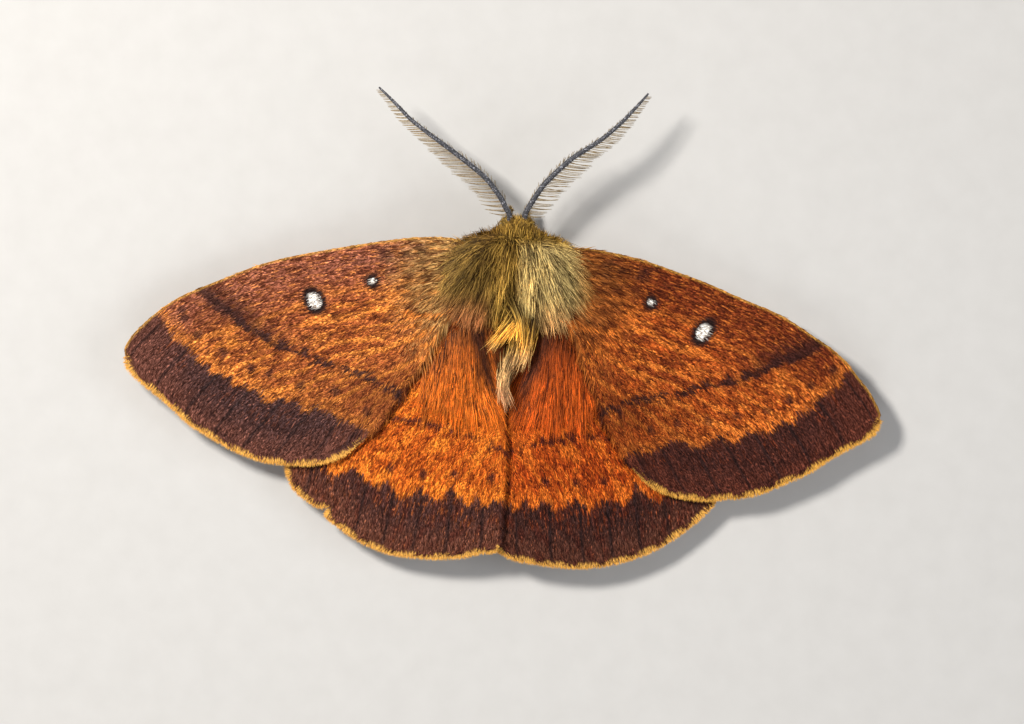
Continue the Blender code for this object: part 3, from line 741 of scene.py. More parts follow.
@dataclass
class Wing:
    """One wing: a thin shell with its veins and markings, and a coat of scales with a fringe.

    Outlines hold points of out and back. A spot holds its middle, two half sizes and an angle.
    """

    kind: str
    side: Side
    costa: list[tuple[float, float]]
    margin: list[tuple[float, float]]
    inner: list[tuple[float, float]]
    border: list[tuple[float, float]]
    line: list[tuple[float, float]]
    dots: list[tuple[float, float]]
    far: list[tuple[float, float]]
    lift: float
    finish: WingFinish
    slot: str
    spots: list[tuple[float, float, float, float, float]] = field(default_factory=list)
    rows: int = 170
    columns: int = 120
    hem: float = 0.32
    thickness: float = 0.1
    vein_ridge: float = 0.05
    pleat: float = 0.05
    scale_count: int = 26000
    scale_length: float = 0.3
    scale_half_width: float = 0.034
    fringe_count: int = 4200
    fringe_length: float = 0.42
    inner_count: int = 3600
    vein_width: float = 0.12
    # Each vein's place between costa and inner edge, and where along the wing it starts.
    veins: tuple[tuple[float, float], ...] = (
        (0.05, 0.0), (0.18, 0.0), (0.31, 0.42), (0.43, 0.42),
        (0.54, 0.42), (0.65, 0.0), (0.77, 0.25), (0.9, 0.0),
    )
    hinge: tuple[float, float] = (3.0, -1.0)
    far_away: float = 9.0
    reach_out: float = 24.0
    rim_points: int = 240
    margin_points: int = 160
    map_edge: float = 0.02
    map_span: float = 0.96
    seed: int = 11

    @property
    def label(self) -> str:
        """The CAD node's name."""
        return f"{self.kind}_{self.side.label}"

    @property
    def length(self) -> float:
        """About how long the wing is, which sets the scale of its noises."""
        return 24.0 if self.kind == "forewing" else 15.0

    def height(self, out: np.ndarray, back: np.ndarray) -> np.ndarray:
        """Height of the membrane's middle."""
        lift = self.lift if self.kind == "forewing" else self.lift + overlap_lift(self.side, out)
        return resting_height(out, back) + lift

    def plan(self) -> None:
        """Lays out the grid of plan points, blended from the wing's four sides."""
        rim = curve(self.margin, self.rim_points)
        tangent = unit(np.gradient(rim, axis=0))
        outward = np.column_stack([-tangent[:, 1], tangent[:, 0]])
        middle = np.mean([*self.costa, *self.inner], axis=0)
        if np.mean(np.sum(outward * (rim - middle), axis=1)) < 0:
            outward = -outward
        rim = rim - outward * self.hem
        self.rim, self.outward = rim, outward
        costa = curve([*self.costa[:-1], rim[0]], self.rows)
        inner = curve([*self.inner[:-1], rim[-1]], self.rows)
        shares = np.linspace(0, 1, self.columns)
        along_rim = np.linspace(0, 1, self.rim_points)
        edge = np.column_stack([np.interp(shares, along_rim, rim[:, k]) for k in range(2)])
        root = costa[0] + np.outer(shares, inner[0] - costa[0])
        s, t = shares[None, :, None], np.linspace(0, 1, self.rows)[:, None, None]
        at_root = (1 - t) * ((1 - s) * costa[0] + s * inner[0])
        at_rim = t * ((1 - s) * costa[-1] + s * inner[-1])
        across = (1 - s) * costa[:, None] + s * inner[:, None]
        self.grid = across + (1 - t) * root[None] + t * edge[None] - at_root - at_rim
        self.costa_line, self.margin_line = costa, curve(self.margin, self.margin_points)

    def measure(self, points: np.ndarray) -> dict[str, np.ndarray]:
        """The distances that the markings are drawn from.

        Args:
            points: Plan points in out and back.

        Returns:
            The fields, with three values for each point. Marks has no third value, and the second of
            details is filled in by whoever knows the veins.
        """
        far = np.array(self.far)
        border, line = np.array(self.border), curve(self.line, 4 * len(self.line))
        in_border, past_line = (
            np.where(inside(points, np.vstack([path, far])), 1, -1) * distance_to_line(points, path)
            for path in (border, line)
        )
        margin = distance_to_line(points, self.margin_line) - self.hem * 0.4
        costa = distance_to_line(points, self.costa_line)
        base = np.hypot(*(points - self.hinge).T)
        dots = np.min([np.hypot(*(points - dot).T) for dot in self.dots], axis=0)
        spot = np.full(len(points), self.far_away)
        for out, back, half_long, half_wide, angle in self.spots:
            turn = math.radians(angle)
            away = points - (out, back)
            long = away @ (math.cos(turn), math.sin(turn))
            wide = away @ (-math.sin(turn), math.cos(turn))
            reach = np.hypot(long / half_long, wide / half_wide)
            spot = np.minimum(spot, (reach - 1) * half_wide)
        return {
            "marks": np.column_stack([in_border, past_line, np.zeros(len(points))]),
            "edges": np.column_stack([margin, costa, base]),
            "details": np.column_stack([spot, np.full(len(points), self.far_away), dots]),
        }

    def build(self) -> None:
        """Builds the wing's shell and coat."""
        self.plan()
        rows, columns = self.grid.shape[:2]
        share = np.broadcast_to(np.linspace(0, 1, columns)[None], (rows, columns))
        along = np.broadcast_to(np.linspace(0, 1, rows)[:, None], (rows, columns))
        out, back = self.grid[..., 0], self.grid[..., 1]
        width = np.linalg.norm(self.grid[:, -1] - self.grid[:, 0], axis=1)[:, None]
        ridge, nearest = np.zeros((rows, columns)), np.full((rows, columns), self.far_away)
        for place, start in self.veins:
            away = np.abs(share - place) * width
            shown = smooth(along, start - 0.02, start + 0.02) if start else np.ones_like(away)
            ridge += np.exp(-((away / self.vein_width) ** 2)) * shown
            nearest = np.minimum(nearest, np.where(shown > 0.5, away, self.far_away))
        pleats = np.cos(2 * np.pi * share * 8.5) * smooth(along, 0.35, 1.0)
        height = self.height(out, back) + self.vein_ridge * ridge + self.pleat * pleats
        flat = self.grid.reshape(-1, 2)
        fields = self.measure(flat)
        fields["details"][:, 1] = nearest.ravel()
        across = (share * np.maximum(width, 3.0)).ravel()
        fields["lay"] = np.column_stack([along.ravel() * self.length, across, np.zeros(len(flat))])
        self.values = {key: value.reshape(rows, columns, 3) for key, value in fields.items()}
        self.surface = height
        self.build_shell()
        self.build_coat()

    def build_shell(self) -> None:
        """Makes the closed shell of the membrane."""
        rows, columns = self.surface.shape
        sign = self.side.value
        thin = np.full((rows, columns), self.thickness / 2)
        thin[-1], thin[:, 0], thin[:, -1] = 0.012, 0.02, 0.012
        top = np.dstack([sign * self.grid[..., 0], self.grid[..., 1], self.surface + thin]).reshape(-1, 3)
        low = np.dstack([sign * self.grid[..., 0], self.grid[..., 1], self.surface - thin]).reshape(-1, 3)
        number = np.arange(rows * columns).reshape(rows, columns)
        corners = [number[:-1, :-1], number[:-1, 1:], number[1:, 1:], number[1:, :-1]]
        quads = np.stack(corners, axis=2).reshape(-1, 4)
        rim = np.concatenate([number[0], number[1:, -1], number[-1, -2::-1], number[-2:0:-1, 0]])
        after = np.roll(rim, -1)
        under = rows * columns
        walls = np.column_stack([after, rim, rim + under, after + under])
        faces = np.vstack([quads[:, ::-1], quads + under, walls[:, ::-1]])
        if sign < 0:
            faces = faces[:, ::-1]
        fields = {key: np.vstack([value.reshape(-1, 3)] * 2) for key, value in self.values.items()}
        outwards = np.tile(self.grid[..., 0].ravel() / self.reach_out, 2)
        half = np.full(2 * under, 0.5)
        fields["strand"] = np.column_stack([half, half, outwards])
        made = mesh_object(f"{self.label}_skin", np.vstack([top, low]), faces, self.finish.material(), fields)
        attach(made, "root")
        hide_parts(self.label)

    def sample(self, rows: np.ndarray, columns: np.ndarray, values: np.ndarray) -> np.ndarray:
        """Values of a grid between its points.

        Args:
            rows: Place along the wing, in rows.
            columns: Place from the costa to the inner edge, in columns.
            values: The grid of values.

        Returns:
            The values at each place.
        """
        row = np.clip(rows.astype(int), 0, values.shape[0] - 2)
        column = np.clip(columns.astype(int), 0, values.shape[1] - 2)
        down, right = (rows - row)[:, None], (columns - column)[:, None]
        values = values.reshape(*values.shape[:2], -1)
        upper = values[row, column] * (1 - right) + values[row, column + 1] * right
        lower = values[row + 1, column] * (1 - right) + values[row + 1, column + 1] * right
        return upper * (1 - down) + lower * down

    def heading(self, rows: np.ndarray, columns: np.ndarray) -> np.ndarray:
        """The direction along the wing in plan, away from its base."""
        ahead = self.sample(rows + 2, columns, self.grid) - self.sample(rows - 1, columns, self.grid)
        return ahead / (np.linalg.norm(ahead, axis=1, keepdims=True) + 1e-9)

    def turned(self, ahead: np.ndarray, angle: np.ndarray) -> np.ndarray:
        """Plan directions turned by angles."""
        cos, sin = np.cos(angle), np.sin(angle)
        return np.column_stack([ahead[:, 0] * cos - ahead[:, 1] * sin, ahead[:, 0] * sin + ahead[:, 1] * cos])

    def on_map(self, rows: np.ndarray, columns: np.ndarray) -> np.ndarray:
        """Where places on the wing lie on the bake's map."""
        shares = [self.map_span * rows / self.rows, self.map_span * columns / self.columns]
        return self.map_edge + np.column_stack(shares)

    def build_coat(self) -> None:
        """Makes the scales of the upper face and the fringe of the margin."""
        rng = np.random.default_rng(self.seed + self.side.value + 7 * len(self.label))
        sign = self.side.value
        scaled = replace(self.finish, name=f"{self.finish.name}_scales", scales=True)
        coat = Coat(f"{self.label}_scales", scaled.material())
        step_r, step_c = np.diff(self.grid[:, :-1], axis=0), np.diff(self.grid[:-1], axis=1)
        area = np.abs(step_r[..., 0] * step_c[..., 1] - step_r[..., 1] * step_c[..., 0])
        cell = rng.choice(area.size, self.scale_count, p=area.ravel() / area.sum())
        rows = cell // area.shape[1] + rng.random(self.scale_count)
        columns = cell % area.shape[1] + rng.random(self.scale_count)
        spot = self.sample(rows, columns, self.grid)
        ahead = self.turned(self.heading(rows, columns), rng.normal(0, 0.16, self.scale_count))
        near_base = smooth(np.hypot(*(spot - self.hinge).T), 6.0, 1.5)
        length = self.scale_length * rng.uniform(0.7, 1.3, self.scale_count) * (1 + 1.2 * near_base)
        length = np.minimum(length, 0.15 + distance_to_line(spot, self.margin_line))
        height = self.sample(rows, columns, self.surface)[:, 0] + self.thickness / 2
        slope = (self.height(*(spot + ahead * 0.3).T) - self.height(*spot.T)) / 0.3
        lift = rng.uniform(0.03, 0.08, self.scale_count) + 0.18 * near_base * rng.random(self.scale_count)
        root = np.column_stack([sign * spot[:, 0], spot[:, 1], height - 0.02])
        end = spot + ahead * length[:, None]
        tip = np.column_stack([sign * end[:, 0], end[:, 1], height + slope * length + lift])
        fields = {key: self.sample(rows, columns, value) for key, value in self.values.items()}
        fields["tone"] = rng.random(self.scale_count)
        fields["outwards"] = spot[:, 0] / self.reach_out
        width = self.scale_half_width * rng.uniform(0.7, 1.3, self.scale_count)
        uv = self.on_map(rows, columns)
        coat.add(np.stack([root, tip], axis=1), width, UPWARDS, uv, fields, flat=0.4)
        self.add_fringe(coat, rng)
        if self.kind == "forewing" or self.side is Side.LEFT:
            self.add_inner_hair(coat, rng)
        coat.build()

    def add_fringe(self, coat: Coat, rng: np.random.Generator) -> None:
        """Adds the long scales that stand out from the margin.

        Args:
            coat: The piece to add to.
            rng: The random source.
        """
        count, sign = self.fringe_count, self.side.value
        share = rng.random(count) * (len(self.rim) - 1.001)
        low = share.astype(int)
        part = (share - low)[:, None]
        spot = self.rim[low] * (1 - part) + self.rim[low + 1] * part
        ahead = self.outward[low] * (1 - part) + self.outward[low + 1] * part
        spot = spot - ahead * rng.uniform(0.02, 0.3, count)[:, None]
        ahead = self.turned(ahead, rng.normal(0, 0.08, count))
        length = self.fringe_length * rng.uniform(0.8, 1.08, count)
        if self.kind == "forewing":
            length *= 1 - 0.55 * smooth(share / len(self.rim), 0.86, 1.0)
        layer = rng.uniform(-0.05, 0.07, count)
        paths, edges = [], []
        for reach in (0.0, 0.55, 1.0):
            plan = spot + ahead * (length * reach)[:, None]
            height = self.height(*plan.T) + layer + 0.03 * reach
            paths.append(np.column_stack([sign * plan[:, 0], plan[:, 1], height]))
            inwards = self.hem * 0.6 - length * reach
            edges.append(np.column_stack([inwards, np.full(count, self.far_away), np.full(count, 20.0)]))
        fields = {
            "marks": self.measure(spot)["marks"],
            "edges": np.stack(edges, axis=1),
            "details": np.full((count, 3), self.far_away),
            "lay": np.column_stack([np.full(count, 30.0), share * 0.2, np.zeros(count)]),
            "tone": rng.uniform(0.3, 0.75, count),
        }
        across = self.map_edge + self.map_span * share / len(self.rim)
        uv = np.column_stack([np.full(count, 0.985), across])
        width = rng.uniform(0.018, 0.03, count)
        coat.add(np.stack(paths, axis=1), width, UPWARDS, uv, fields, flat=0.35, taper=(0.8, 1.0, 0.0))

    def add_inner_hair(self, coat: Coat, rng: np.random.Generator) -> None:
        """Adds the hair along the inner edge, which lies down over the wing beneath.

        Args:
            coat: The piece to add to.
            rng: The random source.
        """
        count, sign = self.inner_count, self.side.value
        fore = self.kind == "forewing"
        rows = rng.uniform(0.12, 0.97, count) * (self.rows - 1.01)
        strip = 0.22 if fore else 0.05
        columns = (1 - strip * rng.random(count) ** 1.5) * (self.columns - 1.001)
        spot = self.sample(rows, columns, self.grid)
        ahead = self.heading(rows, columns)
        aside = self.sample(rows, columns, self.grid) - self.sample(rows, columns - 6, self.grid)
        aside /= np.linalg.norm(aside, axis=1, keepdims=True) + 1e-9
        lean = (rng.uniform(0.02, 0.42, count) * smooth(columns / self.columns, 0.75, 1.0))[:, None]
        ahead = unit(ahead * (1 - lean) + aside * lean)
        longest = np.interp(rows / self.rows, [0, 0.5, 1], [1.4, 1.0, 0.45])
        length = longest * rng.uniform(0.5, 1.2, count)
        length *= 1.0 if fore else 0.6
        drop = 0.56 * smooth(columns / self.columns, 0.93 if fore else 0.96, 1.0)
        paths = []
        for reach, fall in ((0.0, 0.0), (0.55, 0.5), (1.0, 1.0)):
            plan = spot + ahead * (length * reach)[:, None]
            height = self.height(*plan.T) + 0.05 - drop * fall * rng.uniform(0.7, 1.0, count)
            paths.append(np.column_stack([sign * plan[:, 0], plan[:, 1], height]))
        fields = {key: self.sample(rows, columns, value) for key, value in self.values.items()}
        fields["edges"][:, 0] = 3.0
        fields["edges"][:, 2] *= 0.72 if fore else 1.0
        fields["tone"] = rng.random(count)
        width, uv = rng.uniform(0.015, 0.028, count), self.on_map(rows, columns)
        coat.add(np.stack(paths, axis=1), width, UPWARDS, uv, fields, flat=0.35, taper=(1.0, 0.8, 0.0))


@dataclass(frozen=True)
class BodyColours:
    """The colours of the coat as a function of the place on the body, with painted light and shade between
    its two halves.
    """

    collar: Colour = (0.30, 0.175, 0.03)
    olive: Colour = (0.20, 0.116, 0.025)
    gold: Colour = (0.34, 0.20, 0.04)
    # Of these colours, the straw is partly the coat's own colour and partly painted light on the moth's right
    # half.
    straw: Colour = (0.54, 0.40, 0.155)
    tan: Colour = (0.46, 0.18, 0.065)
    # The dark colour for the front of the left half is painted shade.
    front_left: Colour = (0.15, 0.072, 0.014)
    edge: Colour = (0.38, 0.22, 0.05)
    right_edge: Colour = (0.42, 0.165, 0.03)
    rust: Colour = (0.40, 0.105, 0.02)
    orange: Colour = (0.52, 0.14, 0.02)
    under: Colour = (0.24, 0.12, 0.04)
    leg: Colour = (0.20, 0.11, 0.045)

    def blend(self, first: np.ndarray, second: Colour | np.ndarray, share: np.ndarray) -> np.ndarray:
        """Moves colours towards another one, by a share for each."""
        return first * (1 - share[:, None]) + np.array(second) * share[:, None]

    def at(self, points: np.ndarray) -> np.ndarray:
        """The coat's colour over each point of the body.

        Args:
            points: Points in the moth's frame.

        Returns:
            A colour for each point.
        """
        across, back, height = -points[:, 0], points[:, 1], points[:, 2]
        made = np.tile(self.olive, (len(points), 1)).astype(float)
        made = self.blend(made, self.gold, smooth(across, -1.7, -0.9) * (1 - smooth(across, 0.0, 0.5)))
        # Paler straw over the moth's right half and darker olive on its left: partly the coat's own colours,
        # partly painted light and painted shade, as the right half faces the light.
        made = self.blend(made, self.straw, smooth(across, -0.1, 0.7) * 0.85)
        front = smooth(-back, 3.0, 3.9)
        made = self.blend(made, self.collar, front * (0.25 + 0.75 * smooth(across, -0.6, 0.6)))
        made = self.blend(made, self.edge, smooth(-across, 3.2, 4.8) * 0.7)
        made = self.blend(made, self.right_edge, smooth(across, 3.4, 5.0) * 0.85)
        # Painted shade over the front of the moth's left half.
        made = self.blend(made, self.front_left, front * smooth(-across, 0.6, 1.6) * 0.7)
        tips = smooth(back, -0.4, 1.6) * smooth(np.abs(across), 0.9, 2.2)
        made = self.blend(made, self.tan, tips * (0.9 - 0.4 * smooth(across, -0.5, 0.5)))
        made = self.blend(made, self.rust, smooth(back, 1.8, 3.6) * smooth(np.abs(across), 0.5, 1.3))
        made = self.blend(made, self.under, smooth(3.4 - height, 0.0, 1.0) * smooth(back, -3.3, -2.6))
        made = self.blend(made, self.orange, smooth(back, 2.2, 3.4) * smooth(4.0 - height, 0.0, 0.8))
        return made


COLOURS = BodyColours()
# The joints of each leg: hip, coxa, knee, ankle and toe.
LEGS = {
    "fore": [(0.9, -1.9, 1.9), (1.5, -2.1, 1.0), (3.1, -2.9, 2.1), (4.5, -2.8, 0.7), (6.4, -2.2, 0.2)],
    "mid": [(1.2, -0.4, 1.8), (1.9, -0.3, 0.95), (4.3, 0.2, 2.45), (6.0, 1.1, 0.7), (8.2, 2.2, 0.2)],
    "hind": [(1.1, 0.9, 2.0), (1.9, 1.2, 1.0), (4.4, 2.9, 2.5), (5.8, 5.3, 0.7), (6.8, 8.0, 0.2)],
}
FOOT_DOWN = 0.45
PALP = [(0.5, -4.5, 2.1), (0.55, -5.0, 1.6), (0.55, -5.4, 1.45), (0.52, -5.75, 1.5)]


def ring_faces(rings: int, sides: int) -> np.ndarray:
    """The quads between rings of points that follow one another."""
    number = np.arange(rings * sides).reshape(rings, sides)
    after = np.roll(number, -1, axis=1)
    return np.stack([number[:-1], number[1:], after[1:], after[:-1]], axis=2).reshape(-1, 4)


def joined(parts: list[tuple[np.ndarray, np.ndarray]]) -> tuple[np.ndarray, np.ndarray]:
    """The points and faces of several parts as those of one."""
    starts = np.cumsum([0] + [len(points) for points, _ in parts])
    faces = [faces + start for (_, faces), start in zip(parts, starts)]
    return np.vstack([points for points, _ in parts]), np.vstack(faces)


def tube(
    path: np.ndarray, radii: np.ndarray, sides: int = 16, flat: float = 1.0
) -> tuple[np.ndarray, np.ndarray]:
    """Makes a closed tube.

    Args:
        path: Points along the middle.
        radii: Radius at each point.
        sides: Corners of each ring.
        flat: Height as a share of the width.

    Returns:
        The points and the faces, with a small ring closing each end.
    """
    path, radii = np.asarray(path, float), np.asarray(radii, float)
    path = np.vstack([path[0] + (path[0] - path[1]) * 1e-3, path, path[-1] + (path[-1] - path[-2]) * 1e-3])
    radii = np.concatenate([[radii[0] * 0.05], radii, [radii[-1] * 0.05]])
    ahead = unit(np.gradient(path, axis=0))
    up = np.where(np.abs(ahead[:, 2:3]) > 0.95, [[0.0, 1.0, 0.0]], [[0.0, 0.0, 1.0]])
    across = unit(np.cross(ahead, up))
    over = np.cross(across, ahead)
    turn = 2 * np.pi * np.arange(sides) / sides
    rings = path[:, None] + radii[:, None, None] * (
        np.cos(turn)[None, :, None] * across[:, None] + flat * np.sin(turn)[None, :, None] * over[:, None]
    )
    return rings.reshape(-1, 3), ring_faces(len(path), sides)[:, [0, 3, 2, 1]]


@dataclass
class Body:
    """Head, thorax, abdomen, palps and legs under one skin."""

    shrink: float = 0.9
    voxel: float = 0.13
    smoothing: int = 3
    sides: int = 32
    palp_radii: tuple[float, ...] = (0.2, 0.22, 0.24, 0.25, 0.25, 0.24, 0.22, 0.18, 0.12)
    thigh_radii: tuple[float, ...] = (0.24, 0.29, 0.33, 0.35, 0.35, 0.33, 0.3, 0.26, 0.22)
    shin_radii: tuple[float, ...] = (0.2, 0.24, 0.27, 0.28, 0.28, 0.26, 0.24, 0.22, 0.2)
    replaced: tuple[str, ...] = (
        "thorax", "head", "abdomen", "palp_left", "palp_right", "leg_fore_left", "leg_fore_right",
        "leg_mid_left", "leg_mid_right", "leg_hind_left", "leg_hind_right",
    )

    def loft(self, sections: list[tuple[float, ...]], scale: float) -> tuple[np.ndarray, np.ndarray]:
        """A closed body of elliptic sections along the midline.

        Args:
            sections: Distance back, middle height, half width and half height of each section.
            scale: Size as a share of the sections'.

        Returns:
            The points and the faces.
        """
        stations = curve(sections, 28)
        turn = 2 * np.pi * np.arange(self.sides) / self.sides
        rings = np.stack([
            stations[:, 2:3] * scale * np.cos(turn),
            np.repeat(stations[:, :1], self.sides, axis=1),
            stations[:, 1:2] + stations[:, 3:4] * scale * np.sin(turn),
        ], axis=2)
        ends = []
        for ring in (rings[:1], rings[-1:]):
            middle = ring.mean(1, keepdims=True)
            ends.append(middle + (ring - middle) * 0.02)
        rings = np.concatenate([ends[0], rings, ends[1]])
        return rings.reshape(-1, 3), ring_faces(len(rings), self.sides)

    def leg_parts(self, joints: list[tuple[float, ...]], side: Side) -> list[tuple[np.ndarray, np.ndarray]]:
        """The segments of one leg as tubes.

        Args:
            joints: The leg's joints on the left.
            side: The side of the leg.

        Returns:
            Points and faces of each segment.
        """
        mirror = np.array([side.value, 1, 1])
        hip, coxa, knee, ankle, toe = (np.array(joint) * mirror for joint in joints)
        heel = ankle + (toe - ankle) * (FOOT_DOWN, FOOT_DOWN, 1)
        thigh = curve([coxa, (coxa + knee) / 2 + (0, 0, 0.05), knee], 9)
        shin = curve([knee, (knee + ankle) / 2, ankle], 9)
        down = ankle + (heel - ankle) * np.linspace(0, 1, 6)[:-1, None]
        foot = np.vstack([down, heel + (toe - heel) * np.linspace(0, 1, 14)[:, None]])
        beads = 0.15 + 0.035 * np.cos(np.linspace(0, 10 * np.pi, len(foot)))
        foot[:, 2] = np.maximum(foot[:, 2], beads + 0.005)
        return [
            tube([hip, coxa, coxa + (knee - coxa) * 0.08], [0.42, 0.4, 0.3]),
            tube(thigh, self.thigh_radii),
            tube(shin, self.shin_radii),
            tube(foot, beads),
        ]

    def build(self) -> None:
        """Builds the one skin, in which every part is merged."""
        points, quads = self.merged(self.parts())
        for _ in range(self.smoothing):
            total, number = np.zeros_like(points), np.zeros(len(points))
            for a, b in ((0, 1), (1, 2), (2, 3), (3, 0)):
                np.add.at(total, quads[:, a], points[quads[:, b]])
                np.add.at(number, quads[:, a], 1)
            points = points * 0.5 + 0.5 * total / np.maximum(number, 1)[:, None]
        points[:, 2] = np.maximum(points[:, 2], 0.005)
        tint = COLOURS.at(points)
        away = smooth(np.abs(points[:, 0]), 2.2, 3.0) * smooth(3.0 - points[:, 2], 0.0, 0.4)
        tint = COLOURS.blend(tint, COLOURS.leg, away)
        finish = SkinFinish("skin_under_fur")
        made = mesh_object("body_skin", points, quads, finish.material(), {"tint": tint})
        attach(made, "root")
        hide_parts(*self.replaced)

    def parts(self) -> list[tuple[np.ndarray, np.ndarray]]:
        """The overlapping parts of the body, each with its points and faces."""
        parts = [self.loft(sections, self.shrink) for sections in (THORAX, HEAD, ABDOMEN)]
        parts.append(tube([(0, -3.9, 3.1), (0, -2.6, 3.3)], [0.95, 1.2]))
        parts.append(tube([(0, 1.5, 3.2), (0, 3.0, 2.8)], [1.6, 1.5]))
        for side in Side:
            palp = curve(np.array(PALP) * (side.value, 1, 1), len(self.palp_radii))
            parts.append(tube(palp, self.palp_radii))
            for joints in LEGS.values():
                parts += self.leg_parts(joints, side)
        return parts

    def merged(self, parts: list[tuple[np.ndarray, np.ndarray]]) -> tuple[np.ndarray, np.ndarray]:
        """Merges parts by voxels.

        Args:
            parts: Points and faces of each part.

        Returns:
            The points and quads of the one surface.
        """
        points, faces = joined(parts)
        rough = bpy.data.meshes.new("body_rough")
        rough.from_pydata(points.tolist(), [], faces.tolist())
        holder = bpy.data.objects.new("body_rough", rough)
        bpy.context.scene.collection.objects.link(holder)
        merge = holder.modifiers.new("merge", "REMESH")
        merge.mode = "VOXEL"
        merge.voxel_size = self.voxel
        graph = bpy.context.evaluated_depsgraph_get()
        merged = bpy.data.meshes.new_from_object(holder.evaluated_get(graph), depsgraph=graph)
        merged_points = np.zeros(len(merged.vertices) * 3, np.float32)
        merged.vertices.foreach_get("co", merged_points)
        corners = np.zeros(len(merged.loops), np.int32)
        merged.loops.foreach_get("vertex_index", corners)
        bpy.data.objects.remove(holder)
        return merged_points.reshape(-1, 3).astype(float), corners.reshape(-1, 4)


@dataclass
class Fur:
    """Hair laid over the body in locks."""

    finish: CoatFinish
    seed: int = 5

    def strands(
        self,
        coat: Coat,
        roots: np.ndarray,
        middles: np.ndarray,
        tips: np.ndarray,
        rng: np.random.Generator,
        per_lock: int,
        spread: tuple[float, float] = (0.28, 0.13),
        half_width: float = 0.035,
        colour_at: Tint | None = None,
        tint_shift: float = 0.34,
        rings: int = 4,
        height_spread: float = 0.7,
        shortest: float = 0.72,
        shade: np.ndarray | float = 1.0,
    ) -> None:
        """Adds locks of hair that run from roots over middles to tips.

        Args:
            coat: The piece to add to.
            roots: Root of each lock.
            middles: A point that each lock bends over.
            tips: Tip of each lock.
            rng: The random source.
            per_lock: Hairs in each lock.
            spread: How far the hairs stray at the root and at the tip.
            half_width: Half width of a hair.
            colour_at: Colour for each tip point; by its place on the body by default.
            tint_shift: How much the locks differ in brightness.
            rings: Rings along each hair.
            height_spread: Share of the stray that goes up and down.
            shortest: Length of the shortest hair of a lock, as a share of the lock's.
            shade: Brightness of each lock.
        """
        locks = len(roots)
        flat = np.array([1, 1, height_spread])
        stray_root = rng.normal(0, spread[0], (locks, per_lock, 3)) * flat
        stray_tip = rng.normal(0, spread[1], (locks, per_lock, 3)) * flat
        cut = rng.uniform(shortest, 1.08, (locks, per_lock, 1))
        start = roots[:, None] + stray_root
        tip = tips[:, None] + stray_tip
        bend = middles[:, None] + 0.5 * (stray_root + stray_tip)
        paths = []
        for share in np.linspace(0, 1, rings):
            t = share * cut
            paths.append((1 - t) ** 2 * start + 2 * t * (1 - t) * bend + t * t * tip)
        paths = np.stack(paths, axis=2).reshape(locks * per_lock, rings, 3)
        paths[..., 2] = np.maximum(paths[..., 2], 0.03)
        lock_shade = (1 + rng.uniform(-tint_shift, tint_shift, (locks, 1))) * np.reshape(shade, (-1, 1))
        total = locks * per_lock
        lock_tone = np.repeat(lock_shade, per_lock, axis=1).reshape(-1, 1)
        tint = np.stack([(colour_at or COLOURS.at)(paths[:, k]) * lock_tone for k in range(rings)], axis=1)
        centre = np.array([0.0, 0.0, 3.0])
        away = paths[:, 0] - centre
        angle = np.arctan2(away[:, 0], away[:, 2]) / (2 * np.pi) + 0.5
        uv = np.column_stack([0.01 + 0.98 * angle, 0.01 + 0.98 * np.clip((paths[:, 0, 1] + 6) / 20, 0, 1)])
        up = unit(away + (0, 0, 1.5))
        width = half_width * rng.uniform(0.7, 1.3, total)
        fields = {"tint": tint, "tone": rng.random(total)}
        coat.add(paths, width, up, uv, fields, taper=(0.8, 1.0, 0.7) if rings == 4 else (1.0, 0.8))


